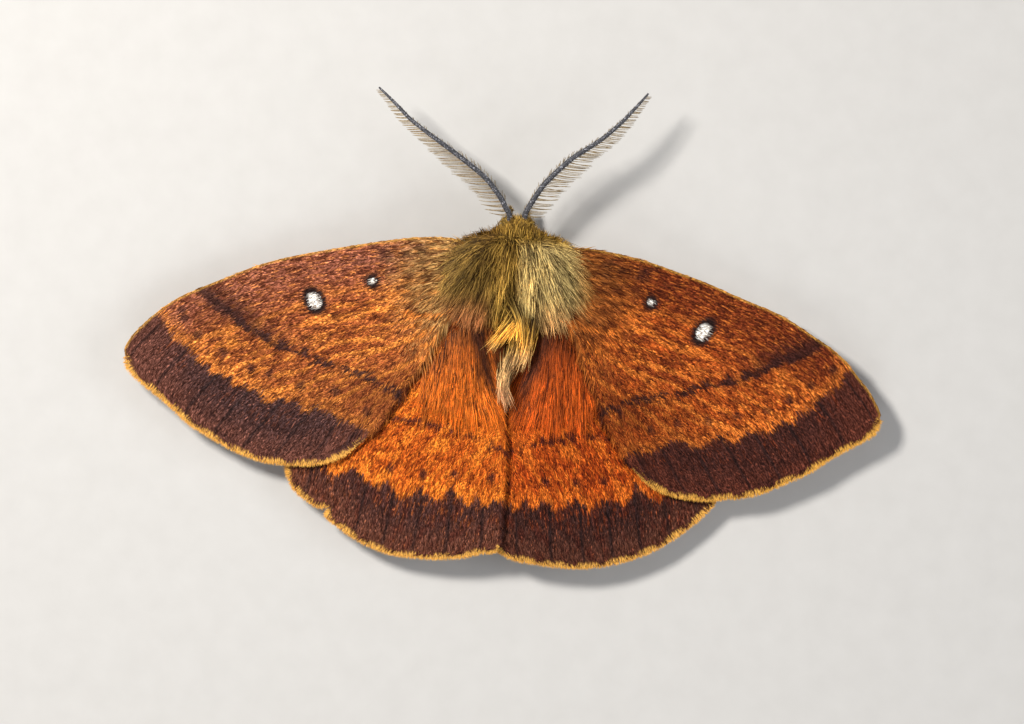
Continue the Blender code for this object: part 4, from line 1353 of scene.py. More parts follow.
@dataclass
class ThoraxCoat:
    """The deep coat of the thorax, parted along the midline, and the tuft behind it."""

    fur: Fur
    outline: tuple[tuple[float, float], ...] = (
        (0.0, -4.2), (1.5, -4.2), (3.0, -3.85), (4.0, -3.4), (4.7, -2.3), (5.1, -1.0), (5.2, 0.1),
        (4.8, 1.0), (4.0, 1.9), (3.2, 2.5), (2.2, 2.6), (1.5, 2.0), (0.9, 2.2), (0.1, 1.5),
    )
    # The place back that the hair points away from, by its distance out.
    pivots: tuple[tuple[float, float], ...] = ((0.4, -10.0), (2.0, -6.6), (4.0, -4.9))
    locks: int = 420
    per_lock: int = 17
    over_wing: float = 1.2
    depth: float = 0.55
    # Each wisp of the tuft: where its root, bend and tip lie, in x and back, and how many locks it has.
    wisps: tuple[tuple[object, ...], ...] = (
        ((-0.1, 0.2), (-0.95, 1.9), (-0.5, 3.4), 24),
        ((-0.65, 0.6), (-1.05, 2.2), (-0.35, 4.0), 18),
        ((-0.6, 2.3), (-0.6, 3.7), (0.3, 5.0), 22),
        ((-0.35, 3.2), (0.35, 4.5), (0.3, 5.9), 20),
        ((0.1, 4.1), (0.6, 5.3), (-0.05, 6.6), 20),
        ((-0.5, 0.9), (0.4, 1.9), (1.4, 3.0), 18),
        ((-0.3, 0.8), (0.1, 1.8), (0.8, 2.8), 10),
        ((-1.3, 1.2), (-1.15, 2.9), (-0.7, 4.2), 10),
    )

    wisp_stray: tuple[float, float, float] = (0.22, 0.17, 0.24)
    tuft_gold: Colour = (0.82, 0.45, 0.075)
    tuft_beige: Colour = (0.72, 0.44, 0.18)
    tuft_end: Colour = (0.56, 0.31, 0.155)

    def cover(self, out: np.ndarray, back: np.ndarray) -> np.ndarray:
        """Height of the lowest hair that lies over the thorax and the wing roots.

        Args:
            out: Distance from the midline.
            back: Distance behind the middle of the thorax.

        Returns:
            The height over the floor.
        """
        edge = np.interp(np.abs(out), [1.7, 3.4, 4.3, 4.8], [0.4, 0.8, 1.9, 3.0])
        over = self.over_wing - 0.55 * smooth(back - edge, -0.2, 0.9)
        return np.maximum(thorax_top(out, back) + 0.1, resting_height(out, back) + over)

    def half(self, side: Side) -> None:
        """Builds one half of the fan, in which the hair lies back and out.

        Args:
            side: The half's side.
        """
        rng = np.random.default_rng(self.fur.seed + side.value)
        coat = Coat(f"thorax_coat_{side.label}", self.fur.finish.material())
        tip = rng.uniform((0.0, -4.2), (5.3, 2.7), (self.locks * 4, 2))
        tip = tip[inside(tip, np.array(self.outline))][: self.locks]
        pivot_back = np.interp(tip[:, 0], *zip(*self.pivots))
        ahead = unit(tip - np.column_stack([np.full(len(tip), -0.2), pivot_back]))
        count = len(tip)
        length = np.minimum(rng.uniform(1.8, 3.3, count), np.hypot(tip[:, 0] + 0.3, tip[:, 1] + 4.7) * 0.8)
        angle = np.arctan2(tip[:, 0], tip[:, 1] + 6.0)
        shade = np.interp(angle, np.linspace(0, 1.6, 26), rng.uniform(0.6, 1.34, 26))
        root = tip - ahead * length[:, None]
        root[:, 0] = np.maximum(root[:, 0], 0.06 + 0.1 * rng.random(count))
        root[:, 1] = np.maximum(root[:, 1], -3.5)
        aside = np.column_stack([-ahead[:, 1], ahead[:, 0]])
        middle = (tip + root) / 2 + aside * rng.normal(-0.12, 0.12, count)[:, None]
        rim = distance_to_line(tip, np.array(self.outline[1:]))
        level = (self.depth + 0.25) * smooth(rim, 0.0, 2.2) - 0.25
        level += rng.uniform(0, 0.3, count) * smooth(rim, -0.3, 1.2)
        parting = 0.45 * smooth(0.9 - tip[:, 0], 0.0, 0.8)
        sign = np.array([side.value, 1])
        roots = np.column_stack([root * sign, thorax_top(*root.T) - 0.25])
        middles = np.column_stack([middle * sign, self.cover(*middle.T) + level + 0.35 - parting])
        tips = np.column_stack([tip * sign, self.cover(*tip.T) + level * 0.7 - parting])
        spread, half_width = (0.26, 0.17), 0.028
        self.fur.strands(coat, roots, middles, tips, rng, self.per_lock, spread, half_width, shade=shade)
        self.collar(coat, side, rng)
        coat.build()

    def collar(self, coat: Coat, side: Side, rng: np.random.Generator) -> None:
        """Adds the short thick fluff over the neck and the eyes.

        Args:
            coat: The piece to add to.
            side: The side to cover.
            rng: The random source.
        """
        count = 170
        out = rng.uniform(0.0, 3.8, count)
        front = -4.98 + 0.3 * out + 0.02 * out * out + 0.9 * rng.random(count) ** 2.6
        root = np.column_stack([out * 0.8, np.maximum(front + rng.uniform(0.7, 1.2, count), -4.0)])
        tip = np.column_stack([out, front])
        sign = np.array([side.value, 1])
        base = np.maximum(4.3, resting_height(out, front) + self.over_wing - 0.35)
        roots = np.column_stack([root * sign, np.maximum(thorax_top(*root.T) - 0.3, 3.5)])
        tips = np.column_stack([tip * sign, base + rng.uniform(0.0, 0.35, count)])
        middles = (roots + tips) / 2 + (0, 0, 0.45)
        self.fur.strands(coat, roots, middles, tips, rng, 14, (0.18, 0.1))

    def tuft(self) -> None:
        """Builds the ridge along the parting and the wisps that lie back over the hindwings."""
        rng = np.random.default_rng(self.fur.seed + 9)
        coat = Coat("thorax_tuft", self.fur.finish.material())
        for wisp in self.wisps:
            knots = np.array(wisp[:3])
            start, bend, tip = (
                knot + rng.normal(0, stray, (wisp[3], 2)) for knot, stray in zip(knots, self.wisp_stray)
            )
            on_thorax = thorax_top(start[:, 0], np.minimum(start[:, 1], 1.6)) - 0.1
            root_height = np.where(start[:, 1] < 1.8, on_thorax, resting_height(*start.T) + 0.9)
            roots = np.column_stack([start, root_height])
            middles = np.column_stack([bend, resting_height(*bend.T) + rng.uniform(1.3, 2.0, wisp[3])])
            tips = np.column_stack([tip, resting_height(*tip.T) + rng.uniform(0.7, 1.1, wisp[3])])
            self.fur.strands(
                coat, roots, middles, tips, rng, 16, (0.16, 0.08), 0.025, self.tuft_colour, shortest=0.5
            )
        coat.build()

    def tuft_colour(self, points: np.ndarray) -> np.ndarray:
        """Golden near the root, beige further back and grey-brown at the end.

        Args:
            points: Points of the hair.

        Returns:
            A colour for each point.
        """
        made = COLOURS.at(np.column_stack([points[:, 0], np.minimum(points[:, 1], 1.4), points[:, 2] + 3]))
        made = COLOURS.blend(made, self.tuft_gold, smooth(points[:, 1], 0.7, 1.7))
        made = COLOURS.blend(made, self.tuft_beige, smooth(points[:, 1], 2.6, 3.8))
        return COLOURS.blend(made, self.tuft_end, smooth(points[:, 1], 4.6, 6.2))


@dataclass(frozen=True)
class PlainTint:
    """One colour for every point of some hair."""

    colour: Colour

    def __call__(self, points: np.ndarray) -> np.ndarray:
        """The colour at each point."""
        return np.tile(self.colour, (len(points), 1))


@dataclass
class ShortCoat:
    """The shorter hair of the head, sides, abdomen and legs."""

    fur: Fur
    face: PlainTint = PlainTint((0.38, 0.235, 0.05))
    leg: PlainTint = PlainTint((0.25, 0.14, 0.055))
    # The near-black tint of the abdomen's crest is painted shade in the gap under the hindwings.
    dark: PlainTint = PlainTint((0.10, 0.032, 0.008))
    crest_locks: int = 620
    head_seed: int = 31
    under_seed: int = 37
    leg_seed: int = 41

    def over_loft(
        self,
        coat: Coat,
        sections: list[tuple[float, ...]],
        span: tuple[float, float],
        turn: tuple[float, float],
        count: int,
        length: tuple[float, float],
        lean: tuple[float, float],
        rng: np.random.Generator,
        per_lock: int = 10,
        colour_at: Tint | None = None,
    ) -> None:
        """Adds locks that stand on a loft.

        Args:
            coat: The piece to add to.
            sections: The loft.
            span: First and last distance back.
            turn: First and last angle about the body's line, from the moth's left over its back.
            count: How many locks.
            length: Shortest and longest hair.
            lean: How far the hair leans back, and how far it stands off.
            rng: The random source.
            per_lock: Hairs in each lock.
            colour_at: Colour for each point of a hair.
        """
        back = rng.uniform(*span, count)
        angle = np.radians(rng.uniform(*turn, count))
        middle, half_width, half_height = loft_at(sections, back)
        steep = [np.cos(angle) / half_width, np.zeros(count), np.sin(angle) / half_height]
        normal = unit(np.column_stack(steep))
        on_loft = [half_width * np.cos(angle), back, middle + half_height * np.sin(angle)]
        roots = np.column_stack(on_loft) - normal * 0.25
        reach = rng.uniform(*length, count)[:, None]
        tips = roots + (normal * lean[1] + np.array([0, 1, 0]) * lean[0]) * reach
        middles = roots + normal * reach * (0.25 + 0.5 * lean[1]) + np.array([0, 0.35, 0]) * reach * lean[0]
        self.fur.strands(
            coat, roots, middles, tips, rng, per_lock, (0.16, 0.12), 0.028, colour_at, rings=3,
            height_spread=1.0,
        )

    def head(self) -> None:
        """Builds the fur of the head and face and of the palps."""
        rng = np.random.default_rng(self.head_seed)
        coat = Coat("head_coat", self.fur.finish.material())
        # Crown, face, brow and throat.
        tufts = [
            ((-4.75, -3.4), (58, 122), 170, (0.6, 0.95), (-0.35, 0.9), 14),
            ((-4.9, -4.65), (-200, 20), 90, (0.25, 0.4), (-0.9, 0.05), 12),
            ((-4.9, -4.65), (45, 135), 50, (0.35, 0.55), (-0.9, 0.2), 12),
            ((-4.5, -3.3), (-160, -20), 90, (0.3, 0.55), (-0.2, 0.8), 10),
        ]
        for *where, per_lock in tufts:
            self.over_loft(coat, HEAD, *where, rng, per_lock, self.face)
        for side in Side:
            path = curve(np.array(PALP) * (side.value, 1, 1), 60)
            place = path[rng.integers(4, 58, 70)]
            away = unit(rng.normal(0, 1, (70, 3)))
            tips = place + away * 0.26 + (0, -0.08, -0.05)
            middles = (place + tips) / 2 + away * 0.1
            self.fur.strands(coat, place, middles, tips, rng, 9, (0.08, 0.08), 0.025, self.face, rings=3)
        coat.build()

    def under(self) -> None:
        """Builds the fur of the thorax's sides and underside and of the abdomen."""
        rng = np.random.default_rng(self.under_seed)
        coat = Coat("underside_coat", self.fur.finish.material())
        self.over_loft(coat, THORAX, (-2.8, 2.0), (-185, 5), 620, (0.8, 1.3), (0.55, 0.65), rng, 9)
        self.over_loft(coat, THORAX, (-2.9, -2.0), (-30, 210), 160, (0.7, 1.1), (-0.5, 0.6), rng, 9)
        coat.build()
        coat = Coat("abdomen_coat", self.fur.finish.material())
        self.over_loft(coat, ABDOMEN, (2.2, 12.8), (-180, 180), 950, (0.6, 1.05), (0.85, 0.28), rng, 9)
        self.over_loft(coat, ABDOMEN, (12.0, 13.1), (-180, 180), 130, (1.0, 1.5), (0.95, 0.1), rng, 9)
        self.crest(coat, rng)
        coat.build()

    def crest(self, coat: Coat, rng: np.random.Generator) -> None:
        """Adds hair on the back of the abdomen, which stands up to the hindwings; it is near-black as painted
        shade, for it fills the shadowed gap under them.

        Args:
            coat: The piece to add to.
            rng: The random source.
        """
        count = self.crest_locks
        across, back = rng.uniform(-1.5, 1.5, count), 2.0 + 10.0 * rng.random(count) ** 1.5
        middle, half_width, half_height = loft_at(ABDOMEN, back)
        skin = middle + half_height * np.sqrt(np.clip(1 - (across / half_width) ** 2, 0.05, 1)) - 0.25
        roots = np.column_stack([across, back, skin])
        out, tip_back = np.abs(across), back + 0.45
        lift = np.where(across > 0.4, overlap_lift(Side.LEFT, out), overlap_lift(Side.RIGHT, out))
        tips = np.column_stack([across, tip_back, resting_height(out, tip_back) + HIND_LIFT + lift - 0.17])
        middles = (roots + tips) / 2 + (0, 0.1, 0.1)
        self.fur.strands(
            coat, roots, middles, tips, rng, 8, (0.2, 0.1), 0.03, self.dark, rings=3,
            height_spread=0.3, shortest=0.92,
        )

    def legs(self) -> None:
        """Builds the fur of the six legs."""
        rng = np.random.default_rng(self.leg_seed)
        coat = Coat("leg_coat", self.fur.finish.material())
        for side in Side:
            mirror = np.array([side.value, 1, 1])
            for joints in LEGS.values():
                hip, coxa, knee, ankle, toe = (np.array(joint) * mirror for joint in joints)
                heel = ankle + (toe - ankle) * (FOOT_DOWN, FOOT_DOWN, 1)
                # Start, end, radius, length of the hair and number of locks of each run.
                runs = [
                    (coxa, knee, 0.3, 0.62, 46), (knee, ankle, 0.22, 0.6, 46),
                    (ankle, heel, 0.13, 0.22, 20), (heel, toe, 0.13, 0.2, 36),
                ]
                for start, end, radius, reach, count in runs:
                    share = rng.random((count, 1))
                    along = (end - start) / np.linalg.norm(end - start)
                    away = rng.normal(0, 1, (count, 3))
                    away = unit(away - along * (away @ along)[:, None])
                    if radius < 0.2:
                        away[:, 2] = np.abs(away[:, 2]) * 0.8
                    roots = start + (end - start) * share + away * radius * 0.7
                    tips = roots + away * reach * 0.45 + along * reach * 0.75
                    middles = roots + away * reach * 0.4 + along * reach * 0.25
                    self.fur.strands(
                        coat, roots, middles, tips, rng, 8, (0.09, 0.07), 0.02, self.leg, rings=3,
                        height_spread=1.0,
                    )
        coat.build()


@dataclass
class HindHair:
    """The long hair on the inner half of a hindwing."""

    wing: Wing
    fur: Fur
    seed: int = 53
    locks: int = 430
    per_lock: int = 14
    # The dark root colour is painted shadow under the thorax's hair, and the right factor is painted shade on
    # the moth's right.
    at_root: Colour = (0.27, 0.075, 0.012)
    at_middle: Colour = (0.47, 0.11, 0.012)
    at_end: Colour = (0.72, 0.175, 0.015)
    right_factor: Colour = (0.84, 0.60, 0.62)
    shadow: Colour = (0.06, 0.014, 0.004)
    groove: tuple[tuple[float, float], ...] = ((2.2, 0.5), (2.0, 2.5), (1.35, 4.7), (0.9, 5.8))

    def colour(self, points: np.ndarray) -> np.ndarray:
        """Orange, made redder and darker on the moth's right by painted shade, darker at the root by painted
        shadow under the thorax's hair, and with painted shadow in the grooves and the notch close to the
        midline.

        Args:
            points: Points of the hair.

        Returns:
            A colour for each point.
        """
        right = smooth(-points[:, 0], -0.3, 0.6)
        # Darker at the root: painted shadow under the thorax's hair.
        made = np.tile(self.at_root, (len(points), 1))
        made = COLOURS.blend(made, self.at_middle, smooth(points[:, 1], 2.0, 3.6))
        made = COLOURS.blend(made, self.at_end, smooth(points[:, 1], 3.4, 6.0))
        # Painted shade on the moth's right half.
        made = COLOURS.blend(made, made * self.right_factor, right)
        plan = np.column_stack([np.abs(points[:, 0]), points[:, 1]])
        groove = distance_to_line(plan, np.array(self.groove))
        dark = np.exp(-((groove / np.interp(plan[:, 1], [1.5, 5.5], [0.8, 0.3])) ** 2)) * 0.97
        notch = smooth(1.5 - plan[:, 0], 0.0, 0.7) * smooth(5.0 - plan[:, 1], 0.0, 1.0) * 0.85
        dark = np.maximum(dark, notch)
        return COLOURS.blend(made, self.shadow, dark * (1 - 0.14 * right))

    def build(self) -> None:
        """Builds the piece."""
        side = self.wing.side
        rng = np.random.default_rng(self.seed + side.value)
        coat = Coat(f"hindwing_{side.label}_hair", self.fur.finish.material())
        back = 1.4 + 4.9 * rng.random(self.locks) ** 1.15
        out = 0.9 + rng.random(self.locks) * (1.0 + 0.75 * back * smooth(9.0 - back, 0.0, 5.0))
        length = rng.uniform(1.5, 2.9, self.locks)
        lean = 0.5 * smooth(3.0 - out, 0.0, 2.5) - 0.16 * smooth(out, 2.5, 5.0)
        tip_out = np.maximum(out - lean * length, 0.08)
        tip_back = back + length
        sign = side.value
        surface = self.wing.height(out, back) + 0.06
        over = self.wing.height(tip_out, tip_back) + 0.08
        roots = np.column_stack([sign * out, back, surface - 0.05])
        tips = np.column_stack([sign * tip_out, tip_back, over + rng.uniform(0.05, 0.3, self.locks)])
        middles = (roots + tips) / 2
        middles[:, 2] += rng.uniform(0.15, 0.5, self.locks)
        self.fur.strands(
            coat, roots, middles, tips, rng, self.per_lock, (0.16, 0.12), 0.025, self.colour, rings=3,
            height_spread=0.25,
        )
        coat.build()


@dataclass(frozen=True)
class AntennaFinish:
    """Dark grey shaft with silvery scales, or pale side branches."""

    name: str
    base: Colour
    fleck: Colour
    cover: float

    def material(self) -> bpy.types.Material:
        """The finish as a node material.

        Returns:
            The material.
        """
        graph = Graph(self.name, 0.5, 0.4)
        grain = graph.noise(11.0, 2.0)
        colour = graph.mix(graph.step(grain, self.cover, self.cover + 0.1), self.base, self.fleck)
        worn = graph.times(graph.step(graph.noise(3.0, 2.0), 0.45, 0.65), 0.5)
        colour = graph.mix(worn, colour, self.base)
        graph.bump(grain, 0.03)
        return graph.finish(colour)


@dataclass
class Antenna:
    """A feathered antenna: a scaly shaft with two rows of fine side branches."""

    side: Side
    path: list[tuple[float, float, float]]
    seed: int = 61
    rami: int = 96
    steps: int = 140
    rows: tuple[tuple[float, float, float], ...] = ((0.95, 0.2, -0.2), (-0.1, -0.2, -0.97))
    lengths: tuple[tuple[float, float], ...] = (
        (0.0, 0.95), (0.12, 1.35), (0.35, 1.5), (0.55, 1.1), (0.75, 0.78), (1.0, 0.3),
    )
    radii: tuple[tuple[float, float], ...] = (
        (0.0, 0.2), (0.06, 0.17), (0.5, 0.15), (0.85, 0.11), (1.0, 0.06),
    )
    shaft: AntennaFinish = AntennaFinish("antenna_shaft", (0.045, 0.045, 0.052), (0.4, 0.4, 0.44), 0.56)
    branches: AntennaFinish = AntennaFinish("antenna_branches", (0.27, 0.19, 0.10), (0.44, 0.34, 0.2), 0.45)

    def build(self) -> None:
        """Builds the shaft and the branches."""
        mirror = np.array([self.side.value, 1, 1])
        line = curve(np.array(self.path) * mirror, self.steps + 1)
        share = np.linspace(0, 1, self.steps + 1)
        beads = 1 + 0.05 * np.cos(share * 2 * np.pi * 62)
        points, faces = tube(line, np.interp(share, *zip(*self.radii)) * beads, 14)
        made = mesh_object(f"antenna_{self.side.label}_shaft", points, faces, self.shaft.material())
        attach(made, "root")
        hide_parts(f"antenna_{self.side.label}")
        points, faces = self.combs(line, mirror)
        made = mesh_object(f"antenna_{self.side.label}_branches", points, faces, self.branches.material())
        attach(made, "root")
        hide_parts(f"antenna_{self.side.label}")

    def combs(self, line: np.ndarray, mirror: np.ndarray) -> tuple[np.ndarray, np.ndarray]:
        """The two rows of side branches.

        Args:
            line: Points along the shaft.
            mirror: Factors that turn the left side into this one.

        Returns:
            The points and the faces.
        """
        rng = np.random.default_rng(self.seed + self.side.value)
        t = np.linspace(0, 1, 8)[:, None]
        width = np.interp(t[:, 0], [0, 0.2, 0.9, 1], [0.036, 0.026, 0.02, 0.01])
        parts = []
        for row in self.rows:
            for place in np.linspace(0.06, 0.985, self.rami):
                spot = int(place * self.steps)
                ahead = line[min(spot + 1, self.steps)] - line[spot - 1]
                ahead /= np.linalg.norm(ahead)
                away = np.array(row) * mirror + rng.normal(0, 0.05, 3)
                away /= np.linalg.norm(away)
                reach = np.interp(place, *zip(*self.lengths)) * rng.uniform(0.9, 1.05)
                branch = line[spot] + away * reach * t + ahead * 0.22 * t * t * reach
                branch = branch + np.array([0, 0, -0.12]) * t * t
                parts.append(tube(branch, width, 6))
        return joined(parts)


@dataclass
class Eye:
    """A dark compound eye with fine facets."""

    side: Side
    facets: float = 9.0
    size: float = 0.87
    longs: int = 64
    rounds: int = 40

    def build(self) -> None:
        """Builds the eye."""
        graph = Graph("compound_eye", 0.18, 0.5)
        place = graph.node("ShaderNodeTexCoord", {}).outputs["Object"]
        inputs = {"Vector": place, "Scale": self.facets / MM}
        cells = graph.node("ShaderNodeTexVoronoi", inputs, feature="DISTANCE_TO_EDGE")
        edge = graph.step(cells.outputs["Distance"], 0.0, 0.12)
        graph.bump(edge, 0.02, 0.6)
        material = graph.finish(graph.mix(edge, (0.05, 0.03, 0.02), (0.012, 0.008, 0.007)))
        turn = np.linspace(0, 2 * np.pi, self.longs, endpoint=False)
        tilt = np.linspace(0.02, np.pi - 0.02, self.rounds)
        ball = np.stack([
            np.outer(np.sin(tilt), np.cos(turn)),
            np.outer(np.sin(tilt), np.sin(turn)),
            np.outer(np.cos(tilt), np.ones(self.longs)),
        ], axis=2).reshape(-1, 3)
        points = ball * EYE_RADIUS * self.size + (self.side.value * EYE_OUT, EYE_BACK, EYE_HEIGHT)
        faces = ring_faces(self.rounds, self.longs)
        made = mesh_object(f"eye_{self.side.label}_dome", points, faces, material)
        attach(made, "root")
        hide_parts(f"eye_{self.side.label}")


@dataclass
class Studio:
    """Pale floor, soft light and the camera at the photo's angle."""

    turn_deg: float = 3.4
    centre: tuple[float, float, float] = (-0.167, 3.872, 2.5)
    distance: float = 355.6
    lens: float = 200.0
    floor_half: float = 400.0
    floor_height: float = -0.002

    def lamp(
        self, name: str, place: tuple[float, float, float], size: float, power: float, warm: Colour
    ) -> None:
        """Adds a square soft light that points at the moth.

        Args:
            name: Name of the light.
            place: Its place in the moth's frame.
            size: Its side in millimetres.
            power: Its power in watts.
            warm: Its colour.
        """
        data = bpy.data.lights.new(name, "AREA")
        data.size = size * MM
        data.energy = power
        data.color = warm
        made = bpy.data.objects.new(name, data)
        made.location = PLACE.place(place)
        aim = Vector(PLACE.place(self.centre)) - made.location
        made.rotation_euler = aim.to_track_quat("-Z", "Y").to_euler()
        bpy.context.scene.collection.objects.link(made)

    def build(self) -> None:
        """Builds the floor, the lights, the sky and the camera."""
        graph = Graph("floor_paper", 0.85, 0.2)
        shade = graph.noise(0.6, 4.0)
        floor_colour = graph.mix(shade, (0.60, 0.585, 0.56), (0.66, 0.645, 0.62))
        half = self.floor_half
        corners = [(-half, -half), (half, -half), (half, half), (-half, half)]
        points = np.array([(x, y, self.floor_height) for x, y in corners])
        floor = mesh_object("floor", points, np.array([[0, 1, 2, 3]]), graph.finish(floor_colour), soft=False)
        self.lamp("key", (90, -60, 150), 34, 0.375, (1.0, 0.97, 0.93))
        self.lamp("fill", (-150, 20, 110), 120, 0.11, (0.95, 0.97, 1.0))
        self.lamp("back", (20, 150, 120), 120, 0.08, (1.0, 1.0, 1.0))
        world = bpy.data.worlds.new("sky")
        world.use_nodes = True
        world.node_tree.nodes["Background"].inputs[0].default_value = (0.9, 0.93, 1.0, 1)
        world.node_tree.nodes["Background"].inputs[1].default_value = 0.17
        bpy.context.scene.world = world
        turn = math.radians(self.turn_deg)
        data = bpy.data.cameras.new("camera")
        data.lens = self.lens
        data.sensor_width = 36.0
        data.clip_start, data.clip_end = 0.01, 10.0
        camera = bpy.data.objects.new("camera", data)
        right = Vector((-math.cos(turn), -math.sin(turn), 0))
        up = Vector((math.sin(turn), -math.cos(turn), 0))
        axes = Matrix((right, up, Vector((0, 0, 1)))).transposed().to_4x4()
        x, y, z = self.centre
        axes.translation = Vector(PLACE.place((x, y, z + self.distance)))
        camera.matrix_world = axes
        bpy.context.scene.collection.objects.link(camera)
        bpy.context.scene.camera = camera
        bpy.context.scene.view_settings.view_transform = "Standard"


# The finishes and outlines of the four wings and the paths of the antennae.

FAR_FORE = [(8.0, 40.0), (50.0, 40.0), (50.0, -10.0), (24.0, -3.0)]
FAR_HIND = [(-6.0, 40.0), (50.0, 40.0), (50.0, 8.0)]

# The left and right finishes differ by painted light: the left wings are paler, a painted sheen, and the
# right wings darker and more saturated, painted shade.
FORE_LEFT_FINISH = WingFinish(
    name="forewing_left_markings", ground=(0.295, 0.063, 0.014), ground_dark=(0.11, 0.022, 0.006),
    ground_light=(0.80, 0.26, 0.04), costal=(0.31, 0.095, 0.048), basal=(0.50, 0.28, 0.085),
    band=(0.46, 0.115, 0.028), line=(0.045, 0.016, 0.012), border=(0.066, 0.028, 0.023),
    border_edge=(0.145, 0.048, 0.029), fringe=(0.80, 0.40, 0.075), line_width=0.38, dot_strength=0.7,
    between_shade=0.25, forewing=True,
)
FORE_RIGHT_FINISH = WingFinish(
    name="forewing_right_markings", ground=(0.24, 0.038, 0.007), ground_dark=(0.085, 0.014, 0.003),
    ground_light=(0.70, 0.19, 0.025), costal=(0.165, 0.027, 0.006), basal=(0.28, 0.088, 0.018),
    band=(0.46, 0.08, 0.010), line=(0.035, 0.010, 0.007), border=(0.055, 0.0155, 0.010),
    border_edge=(0.095, 0.023, 0.012), fringe=(0.72, 0.36, 0.06), line_width=0.38, dot_strength=0.7,
    between_shade=0.22, forewing=True,
)
HIND_LEFT_FINISH = WingFinish(
    name="hindwing_left_markings", ground=(0.52, 0.112, 0.010), ground_dark=(0.25, 0.035, 0.003),
    ground_light=(0.80, 0.22, 0.02), costal=(0.35, 0.085, 0.02), basal=(0.45, 0.11, 0.016),
    band=(0.56, 0.105, 0.010), line=(0.09, 0.018, 0.009), border=(0.070, 0.025, 0.018),
    border_edge=(0.14, 0.045, 0.024), fringe=(0.80, 0.40, 0.075), line_width=0.3, dot_strength=0.95,
    between_shade=0.1, forewing=False,
)
HIND_RIGHT_FINISH = WingFinish(
    name="hindwing_right_markings", ground=(0.43, 0.064, 0.006), ground_dark=(0.17, 0.018, 0.002),
    ground_light=(0.66, 0.15, 0.014), costal=(0.25, 0.05, 0.012), basal=(0.40, 0.076, 0.013),
    band=(0.46, 0.066, 0.006), line=(0.07, 0.012, 0.006), border=(0.048, 0.016, 0.011),
    border_edge=(0.095, 0.030, 0.016), fringe=(0.76, 0.38, 0.07), line_width=0.3, dot_strength=0.95,
    between_shade=0.1, forewing=False,
)


def make_fore_left() -> Wing:
    """The left forewing."""
    return Wing(
        kind="forewing", side=Side.LEFT, far=FAR_FORE, lift=0.88, finish=FORE_LEFT_FINISH,
        slot="rust_scales",
        costa=[
            (1.7, -2.3), (3, -3.2), (4, -3.6), (6, -3.55), (8, -3.25), (10, -2.85), (12, -2.4),
            (14, -1.9), (16, -1.25), (18, -0.35), (20, 0.6), (21, 1.15), (22, 1.9), (23, 2.85),
            (23.7, 3.7), (24.1, 4.5), (24.15, 5),
        ],
        margin=[
            (24.15, 5), (23.9, 5.8), (23, 6.6), (22, 7.3), (21, 8.05), (20, 8.9), (19, 9.5),
            (18, 10), (17, 10.5), (16, 10.85), (15, 11.1), (14, 11.2), (13, 11.2), (12, 11.15),
            (11, 10.9), (10, 10.5), (9.3, 10), (8.5, 9.3),
        ],
        inner=[
            (1.7, 0.4), (3.4, 0.8), (4.3, 1.9), (4.8, 3), (5.3, 4.2), (6, 5.2), (6.5, 6.2),
            (7.2, 7.3), (7.9, 8.5), (8.5, 9.3),
        ],
        border=[
            (23, 0.5), (22, 2.2), (21, 3.6), (20, 4), (19.6, 4.7), (18.7, 5.2), (18.4, 5.7),
            (17.4, 5.7), (17, 6.3), (16.1, 6.3), (15.3, 6.7), (15, 7.3), (14.2, 7), (13, 7.1),
            (12.6, 7.7), (11.8, 7.3), (10.6, 7.8), (10, 8.2), (9, 8.3), (8.5, 8.6), (8.4, 9.4),
            (7.5, 10.5),
        ],
        line=[
            (21.5, -0.8), (19.8, 0.3), (18.5, 1.3), (17.5, 1.9), (16.5, 2.6), (15.5, 3.1), (14.7, 3.5),
            (13.8, 3.8), (12.9, 4.1), (12, 4.5), (11, 4.6), (10, 4.95), (9, 5.2), (8, 5.6), (7, 6),
            (6, 6.8),
        ],
        dots=[
            (20.6, 1.8), (20.4, 2.3), (19.5, 3.3), (17.8, 4.3), (16, 5.2), (14.9, 5.5), (12.9, 6.1),
            (10.7, 6.3), (8.6, 7.4), (6.8, 6.3),
        ],
        spots=[(12.35, 0.75, 0.55, 0.4, 122), (8.75, -0.68, 0.2, 0.2, 0)],
    )


